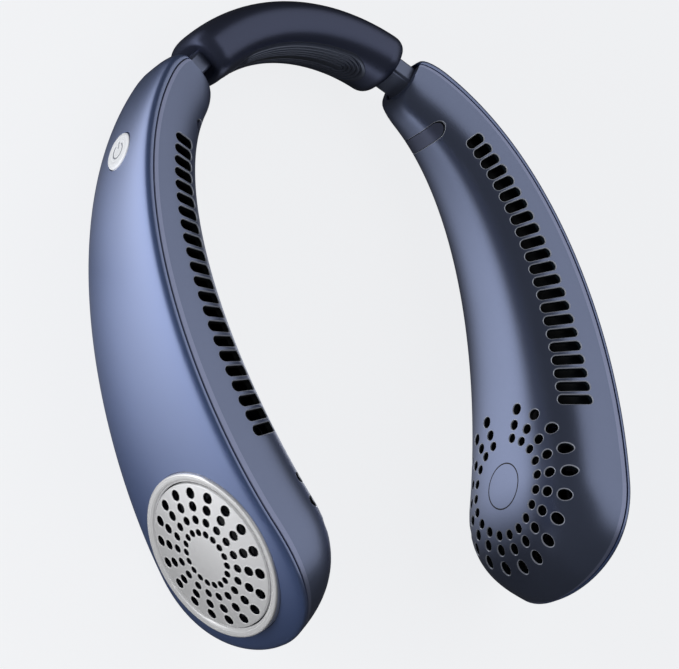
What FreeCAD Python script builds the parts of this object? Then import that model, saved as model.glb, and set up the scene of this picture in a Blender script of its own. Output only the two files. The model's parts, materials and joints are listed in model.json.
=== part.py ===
import FreeCAD, Part
import math
import os
from FreeCAD import Vector

# Electric neck fan, in millimetres.
# It is built in its own plane: x to the wearer's left, y towards the band behind the neck,
# z square to that plane on the side of the outlet slots. At the end it is laid down on a table,
# with its lower edges on the table's top, and its origin goes to the middle of its footprint.
# The left arm is built, and the right arm is its mirror image.

# General fits
case_wall = 1.8            # wall of the cover and the housing
seam_gap = 0.3             # shut line between the cover and the housing
fit_gap = 0.15             # gap round a piece that is set into another
running_gap = 0.05         # radial gap of a pin or shaft in its bore
free_gap = 0.3             # gap between a loose piece and the walls beside it
cut_overrun = 2.0          # how far a cut runs past what it cuts

# Arm: the parting line of cover and housing is a cubic curve with four control points
spine_half_span = 80.0
spine_half_length = 90.0
spine_x_shares = (0.584, 1.188, 1.054, 0.668)
spine_y_shares = (0.996, 0.559, -0.527, -1.010)
section_power = 3.1        # how square the arm's rounded section is
pod_share = 0.813          # where the pod's centre lies along the parting line
end_round_share = 0.05     # length of the rounded hinge end
end_size_share = 0.68      # thickness of the hinge end
tip_power_share = 0.8      # how the thickness closes at the tip
cover_rise = 3.7           # height of the cover's dome over the parting line

# Blower in the pod
impeller_radius = 21.5
impeller_height = 11.0
impeller_eye_radius = 15.0
impeller_hub_wall = 1.4
impeller_disc = 1.2
impeller_rim = 1.0
blade_count = 30
blade_thickness = 0.9
blade_lean_deg = 24.0
fan_top_gap = 1.3          # from the parting line down to the impeller
volute_gap = 2.0
volute_wall = 1.2
volute_room = 3.35         # from the volute to the housing's wall
volute_mouth_deg = 110.0   # opening of the volute towards the air duct
spider_gap = 1.0
spider_thickness = 1.4
spider_spoke_width = 4.0
spider_spoke_count = 4
intake_room = 9.6          # from the spider to the housing's inner face
post_radius = 1.9
post_count = 3
screw_radius = 0.9
screw_head_radius = 1.6
screw_head_height = 0.8
screw_grip = 4.0
stator_radius = 6.6
stator_height = 5.6
stator_slots = 6
stator_slot_width = 1.6
stator_slot_depth = 2.4
bearing_radius = 2.5
shaft_radius = 1.0
rotor_gap = 0.6
rotor_wall = 1.2
rotor_top = 1.2

# Outer grille
bezel_radius = 25.9
bezel_margin = 3.95        # from the bezel to the pod's edge
bezel_lip_width = 2.8
bezel_height = 3.6
bezel_crest_drop = 0.3     # the bezel's crest under the cover's crest
bezel_round = 0.7
plate_thickness = 1.0
plate_drop = 1.8           # the plate's flange under the bezel's crest
plate_ledge = 0.5
plate_shoulder = 1.5       # from the plate's flange up to its rim
plate_dome = 2.0           # rise of the plate's middle over its rim
plate_bevel = 0.4
grille_rays = 18
# Rings of holes and their radii, as shares of the radius of the plate's rim
grille_ring_shares = (83 / 228, 122 / 228, 162 / 228, 201 / 228)
grille_hole_shares = (11.2 / 228, 13.5 / 228, 15.5 / 228, 16.8 / 228)

# Section sizes of the arm, at four control points along it; the pod has room for the volute and the bezel
pod_half_depth = max(
    impeller_radius + volute_gap + volute_wall + volute_room + case_wall,
    bezel_radius + bezel_margin)
housing_depth = fan_top_gap + impeller_height + spider_gap + spider_thickness + intake_room + case_wall
depth_shares = (0.298, 0.640, 0.931, 1.116)
housing_shares = (0.659, 0.716, 1.218, 0.897)

# Intake holes, as shares of the pod's half depth, and the ring mark on the inner face
intake_rays = 20
intake_ring_shares = (310 / 597, 396 / 597, 498 / 597)
intake_hole_shares = (28 / 597, 31 / 597, 35 / 597)
mark_radius = 7.4
mark_width = 0.4
mark_depth = 0.4

# Outlet slots
slot_count = 22
slot_first_share = 0.173
slot_last_share = 0.676
slot_width = 3.2
slot_start_first_deg = 49.0   # from the inner face round towards the slot side, at the first slot
slot_start_last_deg = 45.5
slot_end_deg = 68.5

# Battery cell, its cradle and the duct wall
cell_share = 0.5
cell_radius = 7.0
cell_length = 50.0
cell_cap_radius = 3.0
cell_cap_height = 1.2
cell_round = 0.8
cell_floor = 2.6           # from the cell to the housing's wall
cradle_width = 3.0
cradle_spacing = 30.0
duct_wall_thickness = 1.2
duct_end_share = 0.62
duct_wall_steps = 8

# Hinge at the band's end
hinge_reach = 9.86         # from the band's end to the hinge pin
hinge_inset = 2.9246       # from the arm's end to the hinge pin, along the arm
hinge_depth = 5.1211       # from the parting line in to the hinge pin
tongue_half_thickness = 3.2
tongue_half_depth = 6.3
knuckle_radius = 3.6
tongue_root = 8.0
tongue_round = 1.2
pin_radius = 1.5
pin_seat = 1.2             # how far the pin goes into the housing's wall
arm_swing_out_deg = 25.0   # the cover's end is cut away for the tongue at this swing

# Band
band_radius = 64.0
band_centre_y = 38.0
band_half_thickness = 8.5
band_half_depth = 11.8
band_power = 2.6
band_half_angle_deg = 36.2
cap_angle_deg = 4.2
cap_step_shares = (0.0, 0.35, 0.62, 0.82, 0.94, 1.0)
strip_thickness = 1.2
strip_half_depth = 7.0
strip_offset = 2.0         # outside the band's middle line
cable_radius = 1.2
cable_offset = -3.2        # inside the band's middle line
pad_end_margin = 2.4       # from the pad's end to the end cap
pad_half_depth = 8.4
pad_thickness = 2.2
pad_proud = 0.2
groove_count = 5
groove_pitch = 1.3
groove_width = 0.6
groove_depth = 0.5

# Port flap, socket and charging board in the left arm
tab_share = 0.107
tab_width = 4.8
tab_half_length = 9.4
tab_thickness = 1.1
socket_width = 8.94
socket_height = 3.26
socket_depth = 7.3
socket_wall = 0.3
socket_recess = 1.9        # the socket's mouth under the housing's inner face
socket_blade = 0.7
board_thickness = 1.0
charge_board_depth = 12.0

# Power button, its switch and board in the right arm
button_share = 0.2
button_radius = 6.0
button_gap = 0.3
button_flange = 0.9
button_flange_height = 0.8
button_proud = 0.3
button_travel = 0.8
button_stem_radius = 2.0
button_stem_length = 1.2
switch_size = 4.5
switch_height = 2.2
switch_knob_radius = 1.2
switch_knob_height = 0.8
board_half_length = 12.0
board_half_width = 7.0
board_post_radius = 1.6
board_post_inset = 2.4

# Numbers of points and stations on the curved skins
section_steps = 24
band_steps = 40
tip_steps = 8
tip_angle_deg = 84.0
tip_cavity_angle_deg = 72.0
arm_share_stations = (0.0, 0.012, 0.03, 0.05, 0.09, 0.15, 0.22, 0.30, 0.38, 0.46, 0.54, 0.62, 0.69, 0.755)

up = Vector(0, 0, 1)
origin = Vector(0, 0, 0)


def bernstein(values, u):
    """Value at u of the polynomial with these control values."""
    degree = len(values) - 1
    total = 0.0
    for i, value in enumerate(values):
        total += math.comb(degree, i) * u ** i * (1 - u) ** (degree - i) * value
    return total


def bernstein_slope(values, u):
    """Slope at u of the polynomial with these control values."""
    degree = len(values) - 1
    steps = [degree * (b - a) for a, b in zip(values, values[1:])]
    return bernstein(steps, u)


# Hinge place
hinge_angle = math.radians(band_half_angle_deg)
band_centre = Vector(0, band_centre_y, 0)
band_out = Vector(math.sin(hinge_angle), math.cos(hinge_angle), 0)
band_along = Vector(math.cos(hinge_angle), -math.sin(hinge_angle), 0)
band_end = band_centre + band_out * band_radius
hinge_point = band_end + band_along * hinge_reach

# The arm hangs from its hinge: its curve is moved so that the pin has its place in the arm's end
curve_x = [share * spine_half_span for share in spine_x_shares]
curve_y = [share * spine_half_length for share in spine_y_shares]
end_along = Vector(bernstein_slope(curve_x, 0), bernstein_slope(curve_y, 0), 0).normalize()
end_outward = Vector(-end_along.y, end_along.x, 0)
arm_start = hinge_point - end_along * hinge_inset + end_outward * hinge_depth
spine_x = [x - curve_x[0] + arm_start.x for x in curve_x]
spine_y = [y - curve_y[0] + arm_start.y for y in curve_y]
depth_values = [share * pod_half_depth for share in depth_shares]
housing_values = [share * housing_depth for share in housing_shares]


def spine_point(u):
    return Vector(bernstein(spine_x, u), bernstein(spine_y, u), 0)


def spine_slope(u):
    return Vector(bernstein_slope(spine_x, u), bernstein_slope(spine_y, u), 0)


def along(u):
    """Unit direction of the arm from hinge to tip."""
    return spine_slope(u).normalize()


def outward(u):
    """Unit direction square to the arm, away from the neck."""
    tangent = along(u)
    return Vector(-tangent.y, tangent.x, 0)


def place(u, n, z, s=0):
    """Point at station u, n outwards, z up and s along the arm."""
    return spine_point(u) + outward(u) * n + up * z + along(u) * s


def section_sizes(u, inset):
    """Cover rise, housing depth and half depth of the section at u, drawn in by an inset."""
    tip_share = 1 - inset / spine_slope(1).Length
    rise = cover_rise - inset
    depth = bernstein(housing_values, u) - inset
    half = bernstein(depth_values, u) - inset
    if u > pod_share:
        closing = min(1, (u - pod_share) / (tip_share - pod_share))
        cap = math.sqrt(1 - closing * closing)
        return rise * cap ** tip_power_share, depth * cap ** tip_power_share, half * cap
    return rise, depth, half


def section_offsets(u, angle, inset):
    """n and z of the section's outline at an angle from the inner face, round the slot side."""
    rise, depth, half = section_sizes(u, inset)
    cosine = math.cos(angle)
    sine = math.sin(angle)
    reach = (abs(cosine) ** section_power + abs(sine) ** section_power) ** (-1 / section_power)
    n = -depth * cosine * reach if cosine > 0 else -rise * cosine * reach
    if u < end_round_share:
        closing = min(1, (end_round_share - u) / end_round_share)
        size = end_size_share + (1 - end_size_share) * math.sqrt(1 - closing * closing)
        wall = inset if inset > 0 else 0
        middle = (rise - depth) / 2
        full = (rise + depth) / 2 + wall
        n = middle + (n - middle) * (full * size - wall) / (full - wall)
    return n, half * sine * reach


def floor_depth(u, z, inset):
    """Depth of the housing's outline under the parting line at station u and height z."""
    rise, depth, half = section_sizes(u, inset)
    return depth * (1 - (abs(z) / half) ** section_power) ** (1 / section_power)


def half_wire(u, inset, side, overlap):
    """Closed outline of one half of the section: side -1 is the housing's, 1 the cover's.

    It runs past the parting line by a positive overlap and stops short of it by a negative one.
    """
    rise, depth, half = section_sizes(u, inset)
    height = depth if side < 0 else rise
    middle_angle = 0 if side < 0 else math.pi
    span = math.acos(min(1, max(0, -overlap) / height))
    points = []
    for i in range(section_steps + 1):
        angle = middle_angle + span * (2 * i / section_steps - 1)
        n, z = section_offsets(u, angle, inset)
        points.append(place(u, n, z))
    curve = Part.BSplineCurve()
    curve.interpolate(Points=points, Parameters=[i / section_steps for i in range(section_steps + 1)])
    corners = [points[-1], points[0]]
    if overlap > 0:
        shift = outward(u) * (-side * overlap)
        corners = [points[-1], points[-1] + shift, points[0] + shift, points[0]]
    edges = [curve.toShape()]
    for start, end in zip(corners, corners[1:]):
        edges.append(Part.LineSegment(start, end).toShape())
    return Part.Wire(edges)


def half_solid(inset, side, overlap):
    """One half of the arm, drawn in by an inset, lofted from hinge end to tip.

    A half that is drawn in also runs out of the arm's open end.
    """
    tip_share = 1 - inset / spine_slope(1).Length
    last_angle = math.radians(tip_angle_deg if inset == 0 else tip_cavity_angle_deg)
    stations = [-end_round_share] if inset > 0 else []
    stations += arm_share_stations
    for i in range(tip_steps + 1):
        turn = last_angle * math.sin(math.pi / 2 * i / tip_steps)
        stations.append(pod_share + (tip_share - pod_share) * math.sin(turn))
    return Part.makeLoft([half_wire(u, inset, side, overlap) for u in stations], True, False)


def pill_prism(middle, long_axis, wide_axis, length, width, below, above):
    """Prism of a slot with round ends; it runs from below to above along the third axis."""
    normal = long_axis.cross(wide_axis).normalize()
    half = (length - width) / 2
    radius = width / 2
    base = middle - normal * below
    corners = [
        base + long_axis * -half + wide_axis * -radius,
        base + long_axis * half + wide_axis * -radius,
        base + long_axis * half + wide_axis * radius,
        base + long_axis * -half + wide_axis * radius,
    ]
    edges = [
        Part.LineSegment(corners[0], corners[1]).toShape(),
        Part.Arc(corners[1], base + long_axis * (half + radius), corners[2]).toShape(),
        Part.LineSegment(corners[2], corners[3]).toShape(),
        Part.Arc(corners[3], base - long_axis * (half + radius), corners[0]).toShape(),
    ]
    return Part.Face(Part.Wire(edges)).extrude(normal * (below + above))


def block(u, s_range, n_range, z_range):
    """Box in the arm's own directions at station u."""
    tangent = along(u)
    normal = outward(u)
    corner = place(u, n_range[0], z_range[0], s_range[0])
    steps = [
        tangent * (s_range[1] - s_range[0]),
        normal * (n_range[1] - n_range[0]),
        up * (z_range[1] - z_range[0]),
    ]
    line = Part.LineSegment(corner, corner + steps[0]).toShape()
    return line.extrude(steps[1]).extrude(steps[2])


def disc(radius, low, high, s=0, z=0):
    """Cylinder on the pod's axis, or beside it, from low to high outwards."""
    return Part.makeCylinder(radius, high - low, place(pod_share, low, z, s), outward(pod_share))


def ring(outer, inner, low, high):
    return disc(outer, low, high).cut(disc(inner, low - cut_overrun, high + cut_overrun))


def pod_bar(start, end, width, low, high, turn):
    """Bar that points away from the pod's axis, from low to high outwards, turned about that axis."""
    corners = [(start, -width / 2), (end, -width / 2), (end, width / 2), (start, width / 2)]
    points = [place(pod_share, low, z, s) for s, z in corners]
    bar = Part.Face(Part.makePolygon(points + points[:1])).extrude(outward(pod_share) * (high - low))
    bar.rotate(place(pod_share, 0, 0), outward(pod_share), math.degrees(turn))
    return bar


def on_circle(radius, turn):
    """Offsets s and z of a point on a circle round the pod's axis; turn 0 points to the hinge."""
    return -radius * math.cos(turn), radius * math.sin(turn)


def joined(shapes):
    result = shapes[0]
    if len(shapes) > 1:
        result = result.multiFuse(shapes[1:])
    return result.removeSplitter()


def solid_of(shape):
    """The largest solid of a result."""
    return max(shape.Solids, key=lambda solid: solid.Volume)


# Levels along the pod's axis, outwards positive
impeller_top = -fan_top_gap
impeller_bottom = impeller_top - impeller_height
spider_top = impeller_bottom - spider_gap
spider_bottom = spider_top - spider_thickness
inner_face = -housing_depth
bezel_crest = cover_rise - bezel_crest_drop
plate_face = bezel_crest - plate_drop
plate_back = plate_face - plate_thickness
plate_rim_radius = bezel_radius - bezel_lip_width - free_gap
plate_top = plate_face + plate_shoulder + plate_dome
bezel_back = bezel_crest - bezel_height
volute_inner_radius = impeller_radius + volute_gap
volute_outer_radius = volute_inner_radius + volute_wall
stator_top = spider_top + stator_height
cup_inner_radius = stator_radius + rotor_gap
cup_outer_radius = cup_inner_radius + rotor_wall
cup_ceiling = stator_top + rotor_gap
cup_top = cup_ceiling + rotor_top
hub_inner_radius = cup_outer_radius + running_gap
hub_outer_radius = hub_inner_radius + impeller_hub_wall
post_circle_radius = hub_outer_radius + free_gap + screw_head_radius
spider_hub_radius = post_circle_radius + post_radius

pin_half_length = bernstein(depth_values, 0) - case_wall + pin_seat


def make_slots():
    cutters = []
    for i in range(slot_count):
        step = i / (slot_count - 1)
        u = slot_first_share + (slot_last_share - slot_first_share) * step
        start_deg = slot_start_first_deg + (slot_start_last_deg - slot_start_first_deg) * step
        n0, z0 = section_offsets(u, math.radians(start_deg), 0)
        n1, z1 = section_offsets(u, math.radians(slot_end_deg), 0)
        start = place(u, n0, z0)
        end = place(u, n1, z1)
        long_axis = (end - start).normalize()
        middle = (start + end) * 0.5
        length = (end - start).Length
        depth = case_wall + cut_overrun
        cutters.append(pill_prism(middle, long_axis, along(u), length, slot_width, depth, depth))
    return Part.makeCompound(cutters)


def make_intake_holes():
    cutters = []
    low = inner_face - cut_overrun
    high = spider_bottom + cut_overrun
    for ring_share, hole_share in zip(intake_ring_shares, intake_hole_shares):
        for i in range(1, intake_rays):
            s, z = on_circle(ring_share * pod_half_depth, 2 * math.pi * i / intake_rays)
            cutters.append(disc(hole_share * pod_half_depth, low, high, s, z))
    return Part.makeCompound(cutters)


def make_arm_shells():
    """Outer cover and inner housing, with their openings, cradle and posts."""
    cover = half_solid(0, 1, 0).cut(half_solid(case_wall, 1, cut_overrun))
    outer = half_solid(0, -1, -seam_gap)
    housing = outer.cut(half_solid(case_wall, -1, cut_overrun))

    cover = cover.cut(disc(bezel_radius + fit_gap, bezel_back - cut_overrun, bezel_crest + cover_rise))
    mouth = tongue_block(
        -tongue_root, hinge_reach, tongue_half_thickness + free_gap, tongue_half_depth + free_gap)
    mouth.rotate(hinge_point, up, -arm_swing_out_deg)
    cover = solid_of(cover.cut(mouth))
    mark_low = inner_face - cut_overrun
    mark_high = inner_face + mark_depth
    mark = ring(mark_radius + mark_width / 2, mark_radius - mark_width / 2, mark_low, mark_high)
    pin_hole = Part.makeCylinder(
        pin_radius + running_gap, 2 * pin_half_length, hinge_point - up * pin_half_length, up)
    housing = housing.cut([make_slots(), make_intake_holes(), mark, pin_hole])
    housing = solid_of(housing)

    posts = []
    for i in range(post_count):
        s, z = on_circle(post_circle_radius, 2 * math.pi * (i + 0.5) / post_count)
        post = disc(post_radius, inner_face + case_wall / 2, spider_bottom, s, z)
        bore_radius = screw_radius + running_gap
        bore = disc(bore_radius, spider_bottom - screw_grip, spider_bottom + cut_overrun, s, z)
        posts.append(post.cut(bore))
    housing = joined([housing] + posts + make_cradle())
    return outer, cover, housing


def cell_centre():
    """n and z of the cell's axis: its lower side over the housing's wall, clear of the duct wall."""
    depth = section_sizes(cell_share, case_wall)[1]
    return -(depth - cell_floor - cell_radius), -(cell_radius + free_gap)


def cell_cylinder(radius, length):
    n, z = cell_centre()
    return Part.makeCylinder(radius, length, place(cell_share, n, z, -length / 2), along(cell_share))


def share_beside(u, s):
    """Share of the parting line that lies a length s further along than u."""
    return u + s / spine_slope(u).Length


def cross_plate(u, inset, short, thickness):
    """Plate across the housing, shaped by its section and ending short of the parting line."""
    face = Part.Face(half_wire(u, inset, -1, -short))
    return face.extrude(along(u) * thickness)


def make_cradle():
    """Two ribs under the cell, grown a little into the housing's wall."""
    n = cell_centre()[0]
    ribs = []
    for side in (-1, 1):
        u = share_beside(cell_share, side * cradle_spacing / 2 - cradle_width / 2)
        rib = cross_plate(u, case_wall / 2, -n, cradle_width)
        rib = rib.cut(block(u, (-cradle_width, 2 * cradle_width), (-2 * housing_depth, housing_depth),
                            (-free_gap, 2 * pod_half_depth)))
        rib = rib.cut(cell_cylinder(cell_radius + fit_gap, 2 * cell_length))
        ribs.append(solid_of(rib))
    return ribs


def make_cell():
    n, z = cell_centre()
    body = cell_cylinder(cell_radius, cell_length)
    body = body.makeFillet(cell_round, [e for e in body.Edges if e.Curve.TypeId == "Part::GeomCircle"])
    base = place(cell_share, n, z, cell_length / 2)
    cap = Part.makeCylinder(cell_cap_radius, cell_cap_height, base, along(cell_share))
    return joined([body, cap])


def make_duct_wall():
    """Flat wall over the cell, from the housing's floor to the parting line, clear of the button."""
    start = share_beside(button_share, board_half_length + 2 * free_gap)
    floor_points = []
    seam_points = []
    top = free_gap + duct_wall_thickness
    for i in range(duct_wall_steps + 1):
        u = start + (duct_end_share - start) * i / duct_wall_steps
        floor = floor_depth(u, top, case_wall + free_gap)
        floor_points.append(place(u, -floor, free_gap))
        seam_points.append(place(u, -seam_gap, free_gap))
    floor_curve = Part.BSplineCurve()
    floor_curve.interpolate(floor_points)
    seam_curve = Part.BSplineCurve()
    seam_curve.interpolate(seam_points)
    edges = [
        floor_curve.toShape(),
        Part.LineSegment(floor_points[-1], seam_points[-1]).toShape(),
        seam_curve.toShape(),
        Part.LineSegment(seam_points[0], floor_points[0]).toShape(),
    ]
    return Part.Face(Part.Wire(Part.__sortEdges__(edges))).extrude(up * duct_wall_thickness)


def make_bezel():
    """Silver ring: a rounded lip outside, and a ledge behind which the plate sits."""
    lip_inner = bezel_radius - bezel_lip_width
    seat = lip_inner + plate_ledge + fit_gap
    crest = bezel_crest
    profile = [
        (bezel_radius, bezel_back),
        (bezel_radius, crest - bezel_round),
        (bezel_radius - bezel_round, crest),
        (bezel_radius - bezel_lip_width / 2, crest),
        (lip_inner, plate_face + (crest - plate_face) / 3),
        (lip_inner, plate_face),
        (seat, plate_face),
        (seat, bezel_back),
    ]
    points = [place(pod_share, n, 0, r) for r, n in profile]
    face = Part.Face(Part.makePolygon(points + points[:1]))
    return face.revolve(place(pod_share, 0, 0), outward(pod_share), 360)


def plate_level(radius):
    """Height of the plate's domed face at a distance from its middle: part of a ball."""
    ball_radius = (plate_rim_radius ** 2 + plate_dome ** 2) / (2 * plate_dome)
    return plate_top - ball_radius + math.sqrt(ball_radius ** 2 - radius ** 2)


def plate_arc(start_radius, end_radius, depth):
    """Arc of the plate's profile between two radii, at a depth under its face."""
    radii = (start_radius, (start_radius + end_radius) / 2, end_radius)
    return Part.Arc(*[place(pod_share, plate_level(r) - depth, 0, r) for r in radii]).toShape()


def make_plate():
    """Domed plate with rings of holes, and a flange that sits behind the bezel's ledge."""
    flange_radius = bezel_radius - bezel_lip_width + plate_ledge
    inner_radius = plate_rim_radius - plate_thickness
    bevel_radius = plate_rim_radius - plate_bevel
    corners = [
        (bevel_radius, plate_level(bevel_radius)),
        (plate_rim_radius, plate_level(plate_rim_radius) - plate_bevel),
        (plate_rim_radius, plate_face),
        (flange_radius, plate_face),
        (flange_radius, plate_back),
        (inner_radius, plate_back),
        (inner_radius, plate_level(inner_radius) - plate_thickness),
    ]
    points = [place(pod_share, n, 0, r) for r, n in corners]
    edges = [plate_arc(0, bevel_radius, 0)]
    edges += [Part.LineSegment(start, end).toShape() for start, end in zip(points, points[1:])]
    edges.append(plate_arc(inner_radius, 0, plate_thickness))
    axis_points = [place(pod_share, plate_top - plate_thickness, 0), place(pod_share, plate_top, 0)]
    edges.append(Part.LineSegment(*axis_points).toShape())
    plate = Part.Face(Part.Wire(edges)).revolve(place(pod_share, 0, 0), outward(pod_share), 360)
    cutters = []
    for ring_share, hole_share in zip(grille_ring_shares, grille_hole_shares):
        for i in range(grille_rays):
            s, z = on_circle(ring_share * plate_rim_radius, 2 * math.pi * i / grille_rays)
            cutters.append(disc(hole_share * plate_rim_radius, plate_back, plate_top + cut_overrun, s, z))
    return plate.cut(Part.makeCompound(cutters))


def make_impeller():
    """Blower wheel drawn in at both sides: hub, middle disc, curved blades and two rims."""
    middle = (cup_top + spider_top + rotor_gap) / 2
    hub = ring(hub_outer_radius, hub_inner_radius, spider_top + rotor_gap, cup_top)
    web = ring(impeller_radius, hub_inner_radius, middle - impeller_disc / 2, middle + impeller_disc / 2)
    rim_inner = impeller_radius - impeller_rim
    pieces = [hub, web]
    pieces.append(ring(impeller_radius, rim_inner, impeller_top - impeller_rim, impeller_top))
    pieces.append(ring(impeller_radius, rim_inner, impeller_bottom, impeller_bottom + impeller_rim))
    lean = math.radians(blade_lean_deg)
    for i in range(blade_count):
        turn = 2 * math.pi * i / blade_count
        inner = on_circle(impeller_eye_radius, turn)
        outer = on_circle(impeller_radius - impeller_rim / 2, turn + lean)
        along_blade = Vector(outer[0] - inner[0], outer[1] - inner[1], 0)
        across = Vector(-along_blade.y, along_blade.x, 0).normalize() * (blade_thickness / 2)
        corners = [
            (inner[0] + across.x, inner[1] + across.y),
            (outer[0] + across.x, outer[1] + across.y),
            (outer[0] - across.x, outer[1] - across.y),
            (inner[0] - across.x, inner[1] - across.y),
        ]
        points = [place(pod_share, impeller_bottom, z, s) for s, z in corners]
        face = Part.Face(Part.makePolygon(points + points[:1]))
        pieces.append(face.extrude(outward(pod_share) * impeller_height))
    return joined(pieces)


def make_motor():
    """Spider, stator, bearing, cup, shaft and screws on the pod's axis."""
    spider = [disc(spider_hub_radius, spider_bottom, spider_top)]
    spider.append(ring(volute_outer_radius, volute_inner_radius, spider_bottom, spider_top))
    for i in range(spider_spoke_count):
        turn = 2 * math.pi * (i + 0.5) / spider_spoke_count
        reach = volute_inner_radius + volute_wall / 2
        spider.append(pod_bar(0, reach, spider_spoke_width, spider_bottom, spider_top, turn))
    spider = joined(spider)
    holes = []
    screws = []
    for i in range(post_count):
        s, z = on_circle(post_circle_radius, 2 * math.pi * (i + 0.5) / post_count)
        hole_radius = screw_radius + fit_gap
        holes.append(disc(hole_radius, spider_bottom - cut_overrun, spider_top + cut_overrun, s, z))
        shank = disc(screw_radius, spider_bottom - screw_grip + free_gap, spider_top, s, z)
        head = disc(screw_head_radius, spider_top, spider_top + screw_head_height, s, z)
        screws.append(joined([shank, head]))
    holes.append(disc(shaft_radius + running_gap, spider_bottom - cut_overrun, spider_top + cut_overrun))
    spider = spider.cut(holes)

    stator = ring(stator_radius, bearing_radius + running_gap, spider_top, stator_top)
    cuts = []
    for i in range(stator_slots):
        turn = 2 * math.pi * i / stator_slots
        cuts.append(pod_bar(stator_radius - stator_slot_depth, stator_radius + cut_overrun, stator_slot_width,
                            spider_top - cut_overrun, stator_top + cut_overrun, turn))
    stator = solid_of(stator.cut(cuts))
    bearing = ring(bearing_radius, shaft_radius + running_gap, spider_top, stator_top)

    skirt = ring(cup_outer_radius, cup_inner_radius, spider_top + rotor_gap, cup_ceiling)
    roof = ring(cup_outer_radius, shaft_radius + running_gap, cup_ceiling, cup_top)
    cup = joined([skirt, roof])
    shaft = disc(shaft_radius, spider_bottom, cup_top)
    return spider, stator, bearing, cup, shaft, Part.makeCompound(screws)


def make_volute():
    """Wall round the impeller, open towards the air duct."""
    wall = ring(volute_outer_radius, volute_inner_radius, spider_top, bezel_back - fit_gap)
    reach = 2 * volute_outer_radius
    half = math.radians(volute_mouth_deg / 2)
    low = spider_top - cut_overrun
    corners = [(0, 0), on_circle(reach, half), on_circle(reach, 0), on_circle(reach, -half)]
    points = [place(pod_share, low, z, s) for s, z in corners]
    mouth = Part.Face(Part.makePolygon(points + points[:1])).extrude(outward(pod_share) * reach)
    return solid_of(wall.cut(mouth))


def tab_prism(gap):
    """Prism of the tab's outline, grown by a gap: square at its hinged end, round at the other.

    The gap counts twice at the round end, where the tab swings past its pocket's edge.
    """
    level = section_sizes(tab_share, 0)[1]
    half = tab_width / 2 + gap
    low = -tab_half_length - gap
    high = tab_half_length - tab_width / 2 + gap
    base = -level - cut_overrun
    outline = ((-half, high), (-half, low), (half, low), (half, high))
    corners = [place(tab_share, base, z, s) for s, z in outline]
    edges = [Part.LineSegment(start, end).toShape() for start, end in zip(corners, corners[1:])]
    edges.append(Part.Arc(corners[3], place(tab_share, base, high + half), corners[0]).toShape())
    return Part.Face(Part.Wire(edges)).extrude(outward(tab_share) * (level + cut_overrun - free_gap))


def make_tab(outer, housing):
    """Soft tab let into the inner face, flush with it, and the housing with its pocket."""
    skin = outer.cut(half_solid(tab_thickness, -1, cut_overrun))
    tab = solid_of(skin.common(tab_prism(0)))
    return tab, solid_of(housing.cut(tab_prism(free_gap)))


def make_socket():
    """Charging socket behind the flap, with its board standing behind it across the arm."""
    level = section_sizes(tab_share, 0)[1] - socket_recess
    middle = place(tab_share, -level, 0)
    tangent = along(tab_share)
    shell = pill_prism(middle, up, tangent, socket_width, socket_height, 0, socket_depth)
    hollow_width = socket_width - 2 * socket_wall
    hollow_height = socket_height - 2 * socket_wall
    hollow_depth = socket_depth - socket_wall
    hollow = pill_prism(middle, up, tangent, hollow_width, hollow_height, cut_overrun, hollow_depth)
    shell = shell.cut(hollow)
    half_blade = socket_width / 2 - socket_height / 2
    blade = block(tab_share, (-socket_blade / 2, socket_blade / 2),
                  (-level + socket_wall, -level + socket_depth - socket_wall / 2), (-half_blade, half_blade))
    socket = joined([shell, blade])
    board = cross_plate(tab_share, case_wall + free_gap, level - charge_board_depth, board_thickness)
    board.translate(tangent * (socket_height / 2))
    return socket, board


def button_cylinder(radius, low, high, s=0, z=0):
    return Part.makeCylinder(radius, high - low, place(button_share, low, z, s), outward(button_share))


def make_button(cover):
    """Power button, its switch and board, and the cover with its hole and board posts."""
    top = cover_rise + button_proud
    flange_top = cover_rise - case_wall - free_gap - button_gap
    flange_bottom = flange_top - button_flange_height
    stem_bottom = flange_bottom - button_stem_length
    button = joined([
        button_cylinder(button_radius, flange_bottom, top),
        button_cylinder(button_radius + button_flange, flange_bottom, flange_top),
        button_cylinder(button_stem_radius, stem_bottom, flange_bottom),
    ])
    knob_top = stem_bottom - button_travel - fit_gap
    switch_top = knob_top - switch_knob_height
    board_top = switch_top - switch_height
    board_bottom = board_top - board_thickness
    half = switch_size / 2
    switch = joined([
        block(button_share, (-half, half), (board_top, switch_top), (-half, half)),
        button_cylinder(switch_knob_radius, switch_top, knob_top),
    ])
    board = block(button_share, (-board_half_length, board_half_length), (board_bottom, board_top),
                  (-board_half_width, board_half_width))
    cover = cover.cut(button_cylinder(button_radius + button_gap, -cut_overrun, top + cut_overrun))
    posts = []
    for side in (-1, 1):
        s = side * (board_half_length - board_post_inset)
        posts.append(button_cylinder(board_post_radius, board_top, cover_rise - case_wall / 2, s))
    return button, switch, board, joined([cover] + posts)


def band_section(angle, scale):
    """Closed outline of the band's section at an angle round the band's centre."""
    radial = Vector(math.sin(angle), math.cos(angle), 0)
    points = []
    for i in range(band_steps):
        a = 2 * math.pi * i / band_steps
        reach = (abs(math.cos(a)) ** band_power + abs(math.sin(a)) ** band_power) ** (-1 / band_power)
        n = band_half_thickness * scale * math.cos(a) * reach
        z = band_half_depth * scale * math.sin(a) * reach
        points.append(band_centre + radial * (band_radius + n) + up * z)
    curve = Part.BSplineCurve()
    shares = [i / band_steps for i in range(band_steps + 1)]
    curve.interpolate(Points=points, PeriodicFlag=True, Parameters=shares)
    return Part.Wire([curve.toShape()])


def band_body(scale, half_angle):
    """Arc of the band's section, drawn larger or smaller by a scale."""
    wire = band_section(-half_angle, scale)
    return Part.Face(wire).revolve(band_centre, up, -math.degrees(2 * half_angle))


def band_skin(outside, inside, half_angle):
    """Skin of the band, from a height outside its surface to a depth inside it."""
    outer = band_body(1 + outside / band_half_thickness, half_angle)
    return outer.cut(band_body(1 - inside / band_half_thickness, half_angle))


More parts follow.
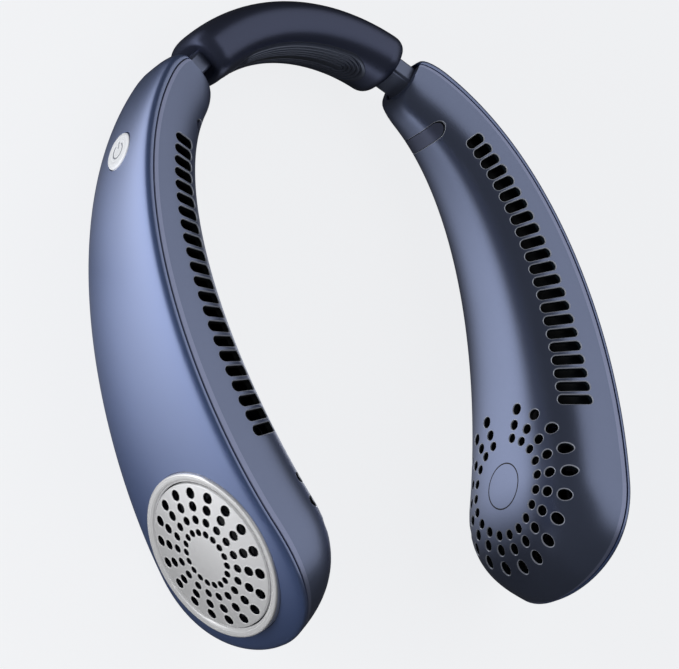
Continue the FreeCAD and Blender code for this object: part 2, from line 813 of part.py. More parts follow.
def pad_prism(half_angle, drawn):
    """Prism of the pad's outline, drawn in by a distance, on the inner side of the band."""
    half_length = (band_radius - band_half_thickness) * math.sin(half_angle) - pad_end_margin - drawn
    half_depth = pad_half_depth - drawn
    back = band_radius - band_half_thickness / 2 - min(drawn, 0)
    return pill_prism(band_centre, Vector(1, 0, 0), up, 2 * half_length, 2 * half_depth, back, 0)


def band_box(inner, outer, half_depth, half_angle):
    """Arc of rectangular section round the band's centre."""
    start = Vector(-math.sin(half_angle), math.cos(half_angle), 0)
    corners = [(inner, -half_depth), (outer, -half_depth), (outer, half_depth), (inner, half_depth)]
    points = [band_centre + start * r + up * z for r, z in corners]
    face = Part.Face(Part.makePolygon(points + points[:1]))
    return face.revolve(band_centre, up, -math.degrees(2 * half_angle))


def band_rod(radius, offset, half_angle):
    start = Vector(-math.sin(half_angle), math.cos(half_angle), 0)
    side = Vector(math.cos(half_angle), math.sin(half_angle), 0)
    circle = Part.Circle(band_centre + start * (band_radius + offset), side, radius)
    face = Part.Face(Part.Wire([circle.toShape()]))
    return face.revolve(band_centre, up, -math.degrees(2 * half_angle))


def tongue_block(start, end, half_thickness, half_depth):
    """Bar along the hinge direction, measured from the band's end."""
    corner = band_end + band_along * start - band_out * half_thickness - up * half_depth
    line = Part.LineSegment(corner, corner + band_along * (end - start)).toShape()
    return line.extrude(band_out * (2 * half_thickness)).extrude(up * (2 * half_depth))


def make_tongue():
    bar = tongue_block(-tongue_root, hinge_reach, tongue_half_thickness, tongue_half_depth)
    bar = bar.makeFillet(tongue_round, [
        e for e in bar.Edges
        if abs(e.tangentAt(e.FirstParameter).dot(band_along)) > 0.5])
    base = hinge_point - up * tongue_half_depth
    knuckle = Part.makeCylinder(knuckle_radius, 2 * tongue_half_depth, base, up)
    bore_base = base - up * tongue_half_depth
    bore = Part.makeCylinder(pin_radius + running_gap, 4 * tongue_half_depth, bore_base, up)
    return joined([bar, knuckle]).cut(bore)


def make_band():
    """Band with its channels, pad, strip and cable, and an end cap."""
    half_angle = math.radians(band_half_angle_deg - cap_angle_deg)
    band = band_body(1, half_angle)
    root_angle = tongue_root / band_radius
    inner_angle = math.radians(band_half_angle_deg) - root_angle - 2 * free_gap / band_radius
    strip_inner = band_radius + strip_offset - strip_thickness / 2
    strip_outer = strip_inner + strip_thickness
    strip = band_box(strip_inner, strip_outer, strip_half_depth, inner_angle)
    cable = band_rod(cable_radius, cable_offset, inner_angle)
    tongue_pocket = tongue_block(-tongue_root - fit_gap, hinge_reach, tongue_half_thickness + fit_gap,
                                 tongue_half_depth + fit_gap)
    other_pocket = tongue_pocket.mirror(origin, Vector(1, 0, 0))
    channel = band_box(strip_inner - fit_gap, strip_outer + fit_gap, strip_half_depth + fit_gap,
                       inner_angle + fit_gap / band_radius)
    cable_channel = band_rod(cable_radius + fit_gap, cable_offset, inner_angle + fit_gap / band_radius)

    pad_depth = pad_thickness - pad_proud
    pad = band_skin(pad_proud, pad_depth, half_angle).common(pad_prism(half_angle, 0))
    pocket = band_skin(cut_overrun, pad_depth + fit_gap, half_angle).common(pad_prism(half_angle, -fit_gap))
    groove_skin = band_skin(cut_overrun, groove_depth - pad_proud, half_angle)
    grooves = []
    for i in range(1, groove_count + 1):
        drawn = i * groove_pitch
        ring_prism = pad_prism(half_angle, drawn).cut(pad_prism(half_angle, drawn + groove_width))
        grooves.append(groove_skin.common(ring_prism))
    pad = solid_of(pad.cut(grooves))
    band = solid_of(band.cut([channel, cable_channel, tongue_pocket, other_pocket, pocket]))

    wires = []
    for share in cap_step_shares:
        angle = half_angle + share * math.radians(cap_angle_deg)
        size = end_size_share + (1 - end_size_share) * math.sqrt(1 - share * share)
        wires.append(band_section(angle, size))
    cap = solid_of(Part.makeLoft(wires, True, False).cut(tongue_pocket))
    return band, pad, strip, cable, cap


def laid_down(shapes):
    """Lay the fan on the table: lower edges of pods and band at z 0, origin in the footprint's middle."""
    pod_low = place(pod_share, 0, -bernstein(depth_values, pod_share))
    band_low = band_centre + Vector(0, band_radius, -band_half_depth)
    fall = math.atan2(band_low.z - pod_low.z, band_low.y - pod_low.y)
    turn = FreeCAD.Rotation(Vector(1, 0, 0), -math.degrees(fall))
    turned = {}
    for name, shape in shapes.items():
        copy = shape.copy()
        copy.transformShape(FreeCAD.Placement(origin, turn).toMatrix(), True)
        turned[name] = copy
    box = FreeCAD.BoundBox()
    for shape in turned.values():
        box.add(shape.optimalBoundingBox(False, False))
    move = Vector(0, -(box.YMin + box.YMax) / 2, -box.ZMin)
    for shape in turned.values():
        shape.transformShape(FreeCAD.Placement(move, FreeCAD.Rotation()).toMatrix(), True)
    return turned, FreeCAD.Placement(move, turn), box


def main():
    outer, cover, housing = make_arm_shells()
    tab, housing = make_tab(outer, housing)
    button, switch, board, button_cover = make_button(cover)
    spider, stator, bearing, cup, shaft, screws = make_motor()
    band, pad, strip, cable, cap = make_band()
    tongue = make_tongue()
    socket, charging_board = make_socket()
    pin = Part.makeCylinder(pin_radius, 2 * pin_half_length - 2 * running_gap,
                            hinge_point - up * (pin_half_length - running_gap), up)
    arm = {
        "inner_housing": housing,
        "grille_bezel": make_bezel(),
        "grille_plate": make_plate(),
        "impeller": make_impeller(),
        "rotor_cup": cup,
        "fan_shaft": shaft,
        "motor_stator": stator,
        "motor_bearing": bearing,
        "motor_spider": spider,
        "motor_screws": screws,
        "volute": make_volute(),
        "battery_cell": make_cell(),
        "duct_wall": make_duct_wall(),
        "hinge_pin": pin,
        "hinge_tongue": tongue,
        "band_cap": cap,
    }
    mirror_plane = (origin, Vector(1, 0, 0))
    nodes = {"neck_band": band, "comfort_pad": pad, "band_spring_strip": strip, "band_cable": cable}
    for name, shape in arm.items():
        nodes["left_" + name] = shape
        nodes["right_" + name] = shape.mirror(*mirror_plane)
    nodes["left_outer_cover"] = cover
    nodes["right_outer_cover"] = button_cover.mirror(*mirror_plane)
    nodes["left_port_cover"] = tab
    nodes["right_blank_tab"] = tab.mirror(*mirror_plane)
    nodes["usb_c_socket"] = socket
    nodes["charging_board"] = charging_board
    nodes["power_button"] = button.mirror(*mirror_plane)
    nodes["button_switch"] = switch.mirror(*mirror_plane)
    nodes["control_board"] = board.mirror(*mirror_plane)

    laid, placement, box = laid_down(nodes)
    os.makedirs("parts", exist_ok=True)
    for name, shape in laid.items():
        shape.exportStep(os.path.join("parts", name + ".step"))
        print(name, "solids", len(shape.Solids), "valid", shape.isValid(), "volume", round(shape.Volume, 1))
    flap_level = floor_depth(share_beside(tab_share, tab_width), tab_half_length, 0)
    flap_end = place(tab_share, -flap_level, -tab_half_length)
    marks = {
        "hinge point": hinge_point,
        "pod centre": place(pod_share, 0, 0),
        "button centre": place(button_share, cover_rise, 0),
        "flap end": flap_end,
        "socket mouth": place(tab_share, -section_sizes(tab_share, 0)[1], 0),
    }
    for name, point in marks.items():
        print(name, [round(v, 4) for v in placement.multVec(point)])
    directions = {
        "up": up,
        "pod axis": outward(pod_share),
        "button axis": outward(button_share),
        "tab along": along(tab_share),
        "tab outward": outward(tab_share),
    }
    for name, direction in directions.items():
        print(name, [round(v, 6) for v in placement.Rotation.multVec(direction)])
    print("size", round(box.XLength, 2), round(box.YLength, 2), round(box.ZLength, 2))
    print("laid", [round(v, 4) for v in placement.Base], round(math.degrees(placement.Rotation.Angle), 4))


main()
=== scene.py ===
"""Looks of an electric neck fan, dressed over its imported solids."""
import json
import bpy
import numpy as np
from mathutils import Matrix
from mathutils.geometry import delaunay_2d_cdt


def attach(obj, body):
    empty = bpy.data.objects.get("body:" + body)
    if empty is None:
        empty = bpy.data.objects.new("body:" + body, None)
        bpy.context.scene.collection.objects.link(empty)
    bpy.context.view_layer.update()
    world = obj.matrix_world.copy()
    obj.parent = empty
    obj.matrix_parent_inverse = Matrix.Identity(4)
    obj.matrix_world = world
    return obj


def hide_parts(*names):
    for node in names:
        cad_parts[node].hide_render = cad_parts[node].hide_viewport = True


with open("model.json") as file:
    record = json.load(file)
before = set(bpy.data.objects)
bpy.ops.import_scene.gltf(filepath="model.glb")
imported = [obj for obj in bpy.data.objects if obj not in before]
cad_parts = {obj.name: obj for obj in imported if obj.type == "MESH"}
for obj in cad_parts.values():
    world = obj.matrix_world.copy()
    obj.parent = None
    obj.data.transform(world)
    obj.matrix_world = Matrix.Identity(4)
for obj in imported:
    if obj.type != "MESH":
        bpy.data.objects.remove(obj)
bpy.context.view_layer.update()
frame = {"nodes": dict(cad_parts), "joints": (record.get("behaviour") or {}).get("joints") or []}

# Arm sizes in millimetres, in the fan's own plane: x to the wearer's left, y to the band, z to the slot
# side. Four values are the controls of a cubic from the hinge to the tip.
SPINE_X = 80.0 * np.array([0.584, 1.188, 1.054, 0.668])
SPINE_Y = 90.0 * np.array([0.996, 0.559, -0.527, -1.010])
HALF = 29.85 * np.array([0.298, 0.640, 0.931, 1.116])
DEPTH = 26.1 * np.array([0.659, 0.716, 1.218, 0.897])
RISE = 3.7
POWER = 3.1
POD = 0.813
END = 0.05
END_SIZE = 0.68
TIP_POWER = 0.8

# Stations run along the skin in nominal millimetres, and GIRTH is the millimetres round it for a radian
STATION_END = 9.0
STATION_POD = 159.0
STATION_TIP = 204.0
STATION_LAST = STATION_TIP - 0.02
GIRTH = 30.0
SKIN_STEP_ALONG = 1.4
SKIN_STEP_ROUND = 1.7

# Shut line between the housing's lip and the cover: angles from the inner face, and insets. The lip strip
# is coloured lighter than the case as a painted highlight, and a dark sheet set into the shut line is
# painted shade.
LIP_START = np.radians(85.0)
LIP_END = np.radians(89.0)
LIP_UNDER = LIP_END + 0.004
LIP_ROUND = 0.012
LIP_ROWS = (
    (LIP_START, 0), (LIP_START + LIP_ROUND, 0), (LIP_END - LIP_ROUND, 0), (LIP_END, 0.05),
    (LIP_UNDER, 0.25), (LIP_UNDER, 0.8))
SHUT_LINE = np.radians([88.0, 92.0])
SHUT_DEPTH = 0.6
COVER_EDGE = np.radians(90.0)
COVER_TURN = np.radians(90.2)
COVER_START = np.radians(91.0)
COVER_FINISH = np.radians(269.0)
COVER_FAR_EDGE = np.radians(270.0)
COVER_ROWS = ((COVER_EDGE, 0.8), (COVER_EDGE, 0.3), (COVER_TURN, 0.1), (COVER_START, 0))

# Walls that show at the hinge end, and how far in along the arm they are drawn
HOUSING_END_WALL = 1.8
COVER_END_WALL = 0.25
END_TURN = 0.4
END_DRAWN = 5

# Dark liner behind the slots, a sheet of painted shade: shares of the arm, angles in degrees and depth
LINER_SHARES = (0.13, 0.70)
LINER_ANGLES = (22, 84)
LINER_DEPTH = 4.5

# Openings in the arm; each ring of holes has its radius and the radius of its holes
SLOTS = np.linspace(0.173, 0.676, 22)
SLOT_STARTS = np.radians(np.linspace(49.0, 45.5, 22))
SLOT_FINISH = np.radians(68.5)
SLOT_WIDTH = 3.2
INTAKE_RINGS = ((15.5, 1.4), (19.8, 1.55), (24.9, 1.75))
INTAKE_RAYS = 20
GRILLE_RINGS = ((8.3, 1.12), (12.2, 1.35), (16.2, 1.55), (20.1, 1.68))
GRILLE_RAYS = 18

# Edges of openings: steps inwards and down; a growth is how far an edge's outline lies outside its hole. On
# the housing and the grille, edges are coloured lighter as a painted highlight and walls dark as painted
# shade.
HOLE_GROWTH = 0.3
HOLE_EDGE = ((0, 0), (0.05, 0.01), (0.14, 0.06), (0.23, 0.16), (0.28, 0.32))
HOLE_WALL = ((0.28, 0.32), (0.3, 0.6), (0.3, 1.8))
POCKET_EDGE = ((0, 0), (0.05, 0.02), (0.12, 0.08), (0.17, 0.2), (0.18, 0.4), (0.18, 1.7))
SEAT_EDGE = ((0, 0), (0.06, 0.02), (0.14, 0.1), (0.18, 0.25), (0.18, 1.8))
PLATE_HOLE_GROWTH = 0.25
PLATE_HOLE_EDGE = ((0, 0), (0.05, -0.05), (0.13, -0.06), (0.21, 0.0), (0.25, 0.1))
PLATE_HOLE_WALL = ((0.25, 0.1), (0.25, 1.0))

# Grille: profiles are radius and height over the parting line, at the pod
BEZEL_RADIUS = 25.9
BEZEL_CREST = 3.4
BEZEL_PROFILE = (
    (BEZEL_RADIUS, -0.2), (BEZEL_RADIUS, 1.6), (BEZEL_RADIUS, BEZEL_CREST), (24.7, BEZEL_CREST + 0.02),
    (23.7, BEZEL_CREST - 0.3), (23.12, 2.4), (23.1, 1.0))
BEZEL_GAP = 0.25
PLATE_RADIUS = 22.8
PLATE_EDGE = PLATE_RADIUS - 0.5
PLATE_SHOULDER = PLATE_RADIUS - 0.1
PLATE_RIM = 3.1
PLATE_TOP = 5.1
PLATE_SIDE = ((PLATE_RADIUS, 2.6), (PLATE_RADIUS, 1.7), (22.85, 1.2))
# Dark ring in the gap between plate and bezel: painted shade
PLATE_SHADOW = ((23.4, 1.5), (22.6, 1.5))

# Ring mark on the pod: radius and lift off the skin
MARK_ROWS = ((7.18, 0.0), (7.24, 0.03), (7.56, 0.03), (7.62, 0.0))

# Soft tab, its pocket and the charging socket's opening; steps and margins are those of their meshes
TAB = 0.107
TAB_HALF = 2.4
TAB_LOW = -9.4
TAB_HIGH = 7.0
TAB_THICKNESS = 1.1
TAB_EDGE = 0.12
TAB_STEPS = (0.5, 0.7)
TAB_MARGIN = 0.2
POCKET_GAP = 0.3
POCKET_DEPTH = 1.6
POCKET_STEPS = (0.6, 0.9)
POCKET_MARGIN = 0.3
SOCKET_RADIUS = 1.9
SOCKET_HALF = 2.85

# Button: radius and drop below its crest, and its sign's ring and bar
BUTTON = 0.2
BUTTON_RADIUS = 6.0
BUTTON_GAP = 0.45
BUTTON_CREST = RISE + 0.3
BUTTON_FOOT = 0.2
BUTTON_BROW = 4.6
BUTTON_DISH = 0.08
BUTTON_DROPS = (
    (BUTTON_RADIUS, 0.55), (5.93, 0.28), (5.7, 0.1), (5.3, 0.02), (BUTTON_BROW, 0.0), (3.0, 0.04),
    (1.5, 0.07), (0.0, BUTTON_DISH))
SIGN_LIFT = 0.03
SIGN_RING = (2.3, 2.75)
SIGN_TURN = np.radians(np.linspace(38, 322, 60))
SIGN_BAR = (0.7, 3.1)
SIGN_BAR_HALF = 0.22

# Band and its grooved faces
BAND_RADIUS = 64.0
BAND_Y = 38.0
BAND_OUT = 8.5
BAND_DEPTH = 11.8
BAND_POWER = 2.6
BAND_END = np.radians(36.2)
BAND_STRETCH = (60.0, 12.0)
BAND_CLOSE = 0.01
CAP_START = np.radians(32.0)
HINGE_REACH = 9.86
PAD_HALF_LENGTH = 27.0
PAD_HALF_DEPTH = 8.4
PAD_PROUD = 0.14
PAD_ROUND = 0.35
GRIP_HALF_LENGTH = 30.0
GRIP_HALF_DEPTH = 6.9
GROOVE_FIRST = 1.6
GROOVE_PITCH = 1.3
GROOVE_COUNT = 5
GROOVE_WIDTH = 0.62
GROOVE_DEPTH = 0.55

UP = np.array([0.0, 0.0, 1.0])
METRE = 0.001


def unit(v):
    return v / np.maximum(np.linalg.norm(v, axis=-1, keepdims=True), 1e-12)


def bezier(c, u):
    """Cubic with control values c: the sum of c times the Bernstein weights at u."""
    v = 1 - u
    return c[0] * v ** 3 + 3 * c[1] * u * v ** 2 + 3 * c[2] * u ** 2 * v + c[3] * u ** 3


def bezier_slope(c, u):
    d = 3 * np.diff(c)
    return d[0] * (1 - u) ** 2 + 2 * d[1] * u * (1 - u) + d[2] * u ** 2


def spine_speed(u):
    return np.hypot(bezier_slope(SPINE_X, u), bezier_slope(SPINE_Y, u))


def arm_axes(u):
    """Point of the parting line and the unit directions along the arm and away from the neck."""
    u = np.asarray(u, float)
    point = np.stack([bezier(SPINE_X, u), bezier(SPINE_Y, u), 0 * u], -1)
    along = unit(np.stack([bezier_slope(SPINE_X, u), bezier_slope(SPINE_Y, u), 0 * u], -1))
    outward = np.stack([-along[..., 1], along[..., 0], 0 * u], -1)
    return point, along, outward


def arm_sizes(u, inset=0.0):
    """Cover rise, housing depth and half width; past the pod they close as a quarter ellipse."""
    tip = 1 - inset / spine_speed(1.0)
    cap = np.sqrt(1 - np.clip((u - POD) / (tip - POD), 0, 1) ** 2)
    rise = (RISE - inset) * cap ** TIP_POWER
    depth = (bezier(DEPTH, u) - inset) * cap ** TIP_POWER
    return rise, depth, (bezier(HALF, u) - inset) * cap


def arm_point(u, a, inset=0.0, shift=0.0):
    """Skin of the arm: a superellipse section at share u and angle a from the inner face.

    n = -depth cos(a) r on the inner half and -rise cos(a) r on the outer half, z = half sin(a) r, with
    r = (|cos|^p + |sin|^p)^(-1/p); near the hinge the thickness closes to its end size.
    """
    u, a = np.broadcast_arrays(np.asarray(u, float), np.asarray(a, float))
    rise, depth, half = arm_sizes(u, inset)
    c, s = np.cos(a), np.sin(a)
    reach = (np.abs(c) ** POWER + np.abs(s) ** POWER) ** (-1 / POWER)
    n = np.where(c > 0, -depth, -rise) * c * reach
    closing = np.clip((END - u) / END, 0, 1)
    size = END_SIZE + (1 - END_SIZE) * np.sqrt(1 - closing ** 2)
    middle = (rise - depth) / 2
    full = (rise + depth) / 2 + inset
    n = middle + (n - middle) * (full * size - inset) / np.maximum(full - inset, 1e-9)
    point, along, outward = arm_axes(u)
    across = outward * n[..., None] + UP * (half * s * reach)[..., None]
    return point + across + along * np.asarray(shift)[..., None]


def share_at(station):
    """Share u at a station: u eases in at the hinge end and out at the tip, so rows stay evenly apart."""
    start = END * (1 - np.cos(np.pi / 2 * np.clip(station / STATION_END, 0, 1)))
    middle = (POD - END) * np.clip((station - STATION_END) / (STATION_POD - STATION_END), 0, 1)
    past_pod = np.clip((station - STATION_POD) / (STATION_TIP - STATION_POD), 0, 1)
    return start + middle + (1 - POD) * np.sin(np.pi / 2 * past_pod)


def station_at(u):
    """Station at a share: the inverse of share_at."""
    start = np.arccos(np.clip(1 - u / END, -1, 1)) * 2 / np.pi * STATION_END
    middle = STATION_END + (u - END) / (POD - END) * (STATION_POD - STATION_END)
    past_pod = np.arcsin(np.clip((u - POD) / (1 - POD), 0, 1)) * 2 / np.pi
    close = STATION_POD + past_pod * (STATION_TIP - STATION_POD)
    return np.where(u < END, start, np.where(u < POD, middle, close))


def skin_point(station, a, inset=0.0):
    return arm_point(share_at(station), a, inset)


def skin_normal(station, a):
    """Outward unit normal: the cross product of central differences along the arm and round it."""
    station_step, angle_step = 0.02, 0.002
    near_hinge, near_tip = 0.03, STATION_TIP - 0.05
    s = np.clip(station, near_hinge, near_tip)
    along = skin_point(s + station_step, a) - skin_point(s - station_step, a)
    around = skin_point(s, a + angle_step) - skin_point(s, a - angle_step)
    return unit(np.cross(along, around))


def on_arm(share, s, z, side):
    """Station and angle of the skin point that lies s along and z up from the arm's axes at a share.

    side -1 is the inner face and 1 the cover. z fixes the angle by tan(a) = k / (1 - k^p)^(1/p) with
    k = z / half, and Newton steps along the arm fix the share.
    """
    newton_steps, damping, steepest = 25, 0.8, 0.995
    near_hinge, near_tip = 0.001, 0.9995
    base, along, outward = arm_axes(share)
    u = share + s / spine_speed(share)
    for step in range(newton_steps):
        k = np.clip(z / arm_sizes(u)[2], -steepest, steepest)
        t = np.arctan(k / (1 - np.abs(k) ** POWER) ** (1 / POWER))
        a = t if side < 0 else np.pi - t
        miss = (arm_point(u, a) - base) @ along - s
        u = np.clip(u - damping * miss / spine_speed(u), near_hinge, near_tip)
    return np.stack([station_at(u), a], -1)


def counterclockwise(loop):
    x, y = loop.T
    area = np.sum(x * np.roll(y, -1) - np.roll(x, -1) * y)
    return loop if area > 0 else loop[::-1]


def circle_loop(share, s, z, radius, side, count):
    t = np.linspace(0, 2 * np.pi, count, endpoint=False)
    return counterclockwise(on_arm(share, s + radius * np.cos(t), z + radius * np.sin(t), side))


def slot_loop(u, start, grow):
    """Stadium on the skin: its straight axis runs round the section, its width along the arm."""
    spare, small = 0.2, 0.001
    table = np.linspace(start - spare, SLOT_FINISH + spare, 80)
    line = arm_point(u, table)
    length = np.concatenate([[0], np.cumsum(np.linalg.norm(np.diff(line, axis=0), axis=1))])
    first, last = np.interp([start, SLOT_FINISH], table, length)
    radius = SLOT_WIDTH / 2 + grow
    half = (last - first) / 2 + grow - radius
    t = np.linspace(0, 2 * np.pi, 40, endpoint=False)
    run = (first + last) / 2 + half * np.sign(np.cos(t)) + radius * np.cos(t)
    across = radius * np.sin(t)
    a = np.interp(run, length, table)
    speed = np.linalg.norm(arm_point(u + small, a) - arm_point(u - small, a), axis=-1) / (2 * small)
    return counterclockwise(np.stack([station_at(u + across / speed), a], -1))


def tab_loop(grow):
    """Outline of the soft tab: square at the lower end, half round at the slot side."""
    half = TAB_HALF + grow
    low = TAB_LOW - grow
    high = TAB_HIGH + grow
    t = np.linspace(0, np.pi, 24)
    side = np.linspace(low, high, 24, endpoint=False)
    back = side[::-1] + (side[1] - side[0])
    across = np.linspace(-half, half, 10, endpoint=False)
    s = np.concatenate([across, 0 * side + half, half * np.cos(t)[:-1], 0 * side - half])
    z = np.concatenate([0 * across + low, side, high + half * np.sin(t)[:-1], back])
    return counterclockwise(on_arm(TAB, s, z, -1))


def inside(points, loop):
    """True where a point lies in a closed loop, by counting the edges that a level ray crosses."""
    found = np.zeros(len(points), bool)
    low, high = loop.min(0), loop.max(0)
    near = np.flatnonzero(np.all((points >= low) & (points <= high), axis=1))
    x, y = points[near, 0, None], points[near, 1, None]
    x0, y0 = loop.T
    x1, y1 = np.roll(loop, -1, axis=0).T
    rise = np.where(y1 == y0, 1e-12, y1 - y0)
    crossing = ((y0 > y) != (y1 > y)) & (x < x0 + (x1 - x0) * (y - y0) / rise)
    found[near] = crossing.sum(1) % 2 == 1
    return found


def cut_sheet(x, y, holes, outline=None, margin=0.5):
    """Triangles of a rectangular grid with holes in it, or of the part of it inside an outline.

    Grid points in a hole or near its edge are left out, the loops are fixed edges of a Delaunay
    triangulation, and triangles whose middle lies in a hole are dropped.
    """
    points = np.stack(np.meshgrid(x, y, indexing="ij"), -1).reshape(-1, 2)
    loops = list(holes) + ([outline] if outline is not None else [])
    keep = np.ones(len(points), bool)
    for loop in loops:
        low, high = loop.min(0) - margin, loop.max(0) + margin
        near = np.flatnonzero(np.all((points > low) & (points < high), axis=1))
        gap = np.linalg.norm(points[near, None] - loop[None], axis=-1).min(1)
        keep[near[gap < margin]] = False
    for loop in holes:
        keep &= ~inside(points, loop)
    if outline is not None:
        keep &= inside(points, outline)
    points = points[keep]
    edges = []
    for loop in loops:
        first = len(points)
        number = np.arange(len(loop))
        edges.append(np.stack([first + number, first + np.roll(number, -1)], -1))
        points = np.concatenate([points, loop])
    edges = np.concatenate(edges).tolist() if edges else []
    result = delaunay_2d_cdt(points.tolist(), edges, [], 0, 1e-7, False)
    corners = np.array([tuple(v) for v in result[0]])
    faces = np.array(result[2])
    middle = corners[faces].mean(1)
    keep = np.ones(len(faces), bool)
    for loop in holes:
        keep &= ~inside(middle, loop)
    if outline is not None:
        keep &= inside(middle, outline)
    return corners, faces[keep]


def grid_normals(p, wrap):
    """Unit normals of a grid surface, from differences between its neighbours."""
    d1 = np.gradient(p, axis=1)
    d0 = (np.roll(p, -1, 0) - np.roll(p, 1, 0)) / 2 if wrap else np.gradient(p, axis=0)
    return unit(np.cross(d0, d1))


# From the fan's own plane to the table that it lies on
hinge_joint = next(j for j in frame["joints"] if j["name"] == "left_arm_hinge")
lay_sine, lay_cosine = hinge_joint["axis"][1], hinge_joint["axis"][2]
LAY = np.array([[1, 0, 0], [0, lay_cosine, lay_sine], [0, -lay_sine, lay_cosine]])
hinge_flat = np.array([
    BAND_RADIUS * np.sin(BAND_END) + HINGE_REACH * np.cos(BAND_END),
    BAND_Y + BAND_RADIUS * np.cos(BAND_END) - HINGE_REACH * np.sin(BAND_END),
    0.0,
])
LAY_MOVE = np.array(hinge_joint["pos_m"]) / METRE - LAY @ hinge_flat


def laid(points):
    """Points in the fan's own plane, in millimetres, to the table's frame in metres."""
    return (points @ LAY.T + LAY_MOVE) * METRE


class Piece:
    """Gathers surfaces, each with its normals and finish, and makes one mesh of them."""

    def __init__(self):
        self.points, self.faces, self.normals, self.finish, self.uvs = [], [], [], [], []
        self.count = 0

    def add(self, points, faces, normals, finish=0, uv=None):
        self.points.append(points)
        self.normals.append(normals)
        self.faces.append(faces + self.count)
        self.finish.append(np.full(len(faces), finish))
        self.uvs.append(np.zeros((len(points), 2)) if uv is None else uv)
        self.count += len(points)

    def grid(self, p, wrap=False, finish=0, normals=None, uv=None):
        """Surface on a grid of points; wrap closes its first direction."""
        rows, cols = p.shape[:2]
        i = np.arange(rows if wrap else rows - 1)[:, None]
        j = np.arange(cols - 1)[None]
        near, far = i * cols + j, (i + 1) % rows * cols + j
        faces = np.stack([near, far, far + 1, near + 1], -1).reshape(-1, 4)
        normals = grid_normals(p, wrap) if normals is None else normals
        uv = None if uv is None else uv.reshape(-1, 2)
        self.add(p.reshape(-1, 3), faces, normals.reshape(-1, 3), finish, uv)

    def build(self, name, body, finishes, slot, replaces=(), mirrored=False):
        """Make the piece, on its body and in place of the solids that it replaces."""
        flip = np.array([-1.0, 1.0, 1.0]) if mirrored else np.ones(3)
        points = laid(np.concatenate(self.points) * flip)
        normals = unit(np.concatenate(self.normals) * flip) @ LAY.T
        faces = [row for block in self.faces for row in (block[:, ::-1] if mirrored else block).tolist()]
        mesh = bpy.data.meshes.new(name)
        mesh.from_pydata(points.tolist(), [], faces)
        mesh.polygons.foreach_set("material_index", np.concatenate(self.finish).astype(np.int32))
        mesh.polygons.foreach_set("use_smooth", np.ones(len(faces), bool))
        corner = np.zeros(len(mesh.loops), np.int32)
        mesh.loops.foreach_get("vertex_index", corner)
        layer = mesh.uv_layers.new(name="UVMap")
        layer.data.foreach_set("uv", np.concatenate(self.uvs)[corner].astype(np.float32).ravel())
        mesh.update()
        mesh.normals_split_custom_set_from_vertices(normals.tolist())
        for finish in finishes:
            mesh.materials.append(finish)
        piece = bpy.data.objects.new(name, mesh)
        bpy.context.scene.collection.objects.link(piece)
        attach(piece, body)
        if replaces:
            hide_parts(*replaces)


class Line:
    """A socket of a material's node tree; sums and products of sockets add Math nodes."""

    def __init__(self, tree, socket=None):
        self.tree, self.socket = tree, socket

    def node(self, kind, settings=(), sockets=(), output=0):
        """Add a node: its settings first, then the values or links of its sockets."""
        made = self.tree.nodes.new(kind)
        for key, value in dict(settings).items():
            setattr(made, key, value)
        for key, value in dict(sockets).items():
            if isinstance(value, Line):
                self.tree.links.new(value.socket, made.inputs[key])
            else:
                made.inputs[key].default_value = value
        return Line(self.tree, made.outputs[output])

    def math(self, operation, first, second=0.0):
        return self.node("ShaderNodeMath", {"operation": operation}, {0: first, 1: second})

    def __add__(self, other):
        return self.math("ADD", self, other)

    def __sub__(self, other):
        return self.math("SUBTRACT", self, other)

    def __rsub__(self, other):
        return self.math("SUBTRACT", other, self)

    def __mul__(self, other):
        return self.math("MULTIPLY", self, other)

    __radd__ = __add__
    __rmul__ = __mul__


def srgb(r, g, b):
    """Linear colour of an 8-bit display colour."""
    c = np.array([r, g, b]) / 255
    c = np.where(c < 0.04045, c / 12.92, ((c + 0.055) / 1.055) ** 2.4)
    return (*c.tolist(), 1.0)


def scaled(colour, factor):
    return (*[min(1.0, v * factor) for v in colour[:3]], 1.0)


def noise(pen, where, scale, detail=2.0):
    return pen.node("ShaderNodeTexNoise", {}, {"Vector": where, "Scale": scale, "Detail": detail})


def new_material(name):
    """New material with its Principled shader."""
    material = bpy.data.materials.new(name)
    material.use_nodes = True
    return material, material.node_tree.nodes["Principled BSDF"]


# What every finish shares: scale of the colour drift, and how much grain, drift and turning marks count
DRIFT_SCALE = 45.0
GRAIN_DETAIL = 3.0
GRAIN_ROUGHNESS = 0.12
DRIFT_ROUGHNESS = 0.05
RELIEF_STRENGTH = 0.6
RING_SHARE = 0.6
COAT_ROUGHNESS = 0.3


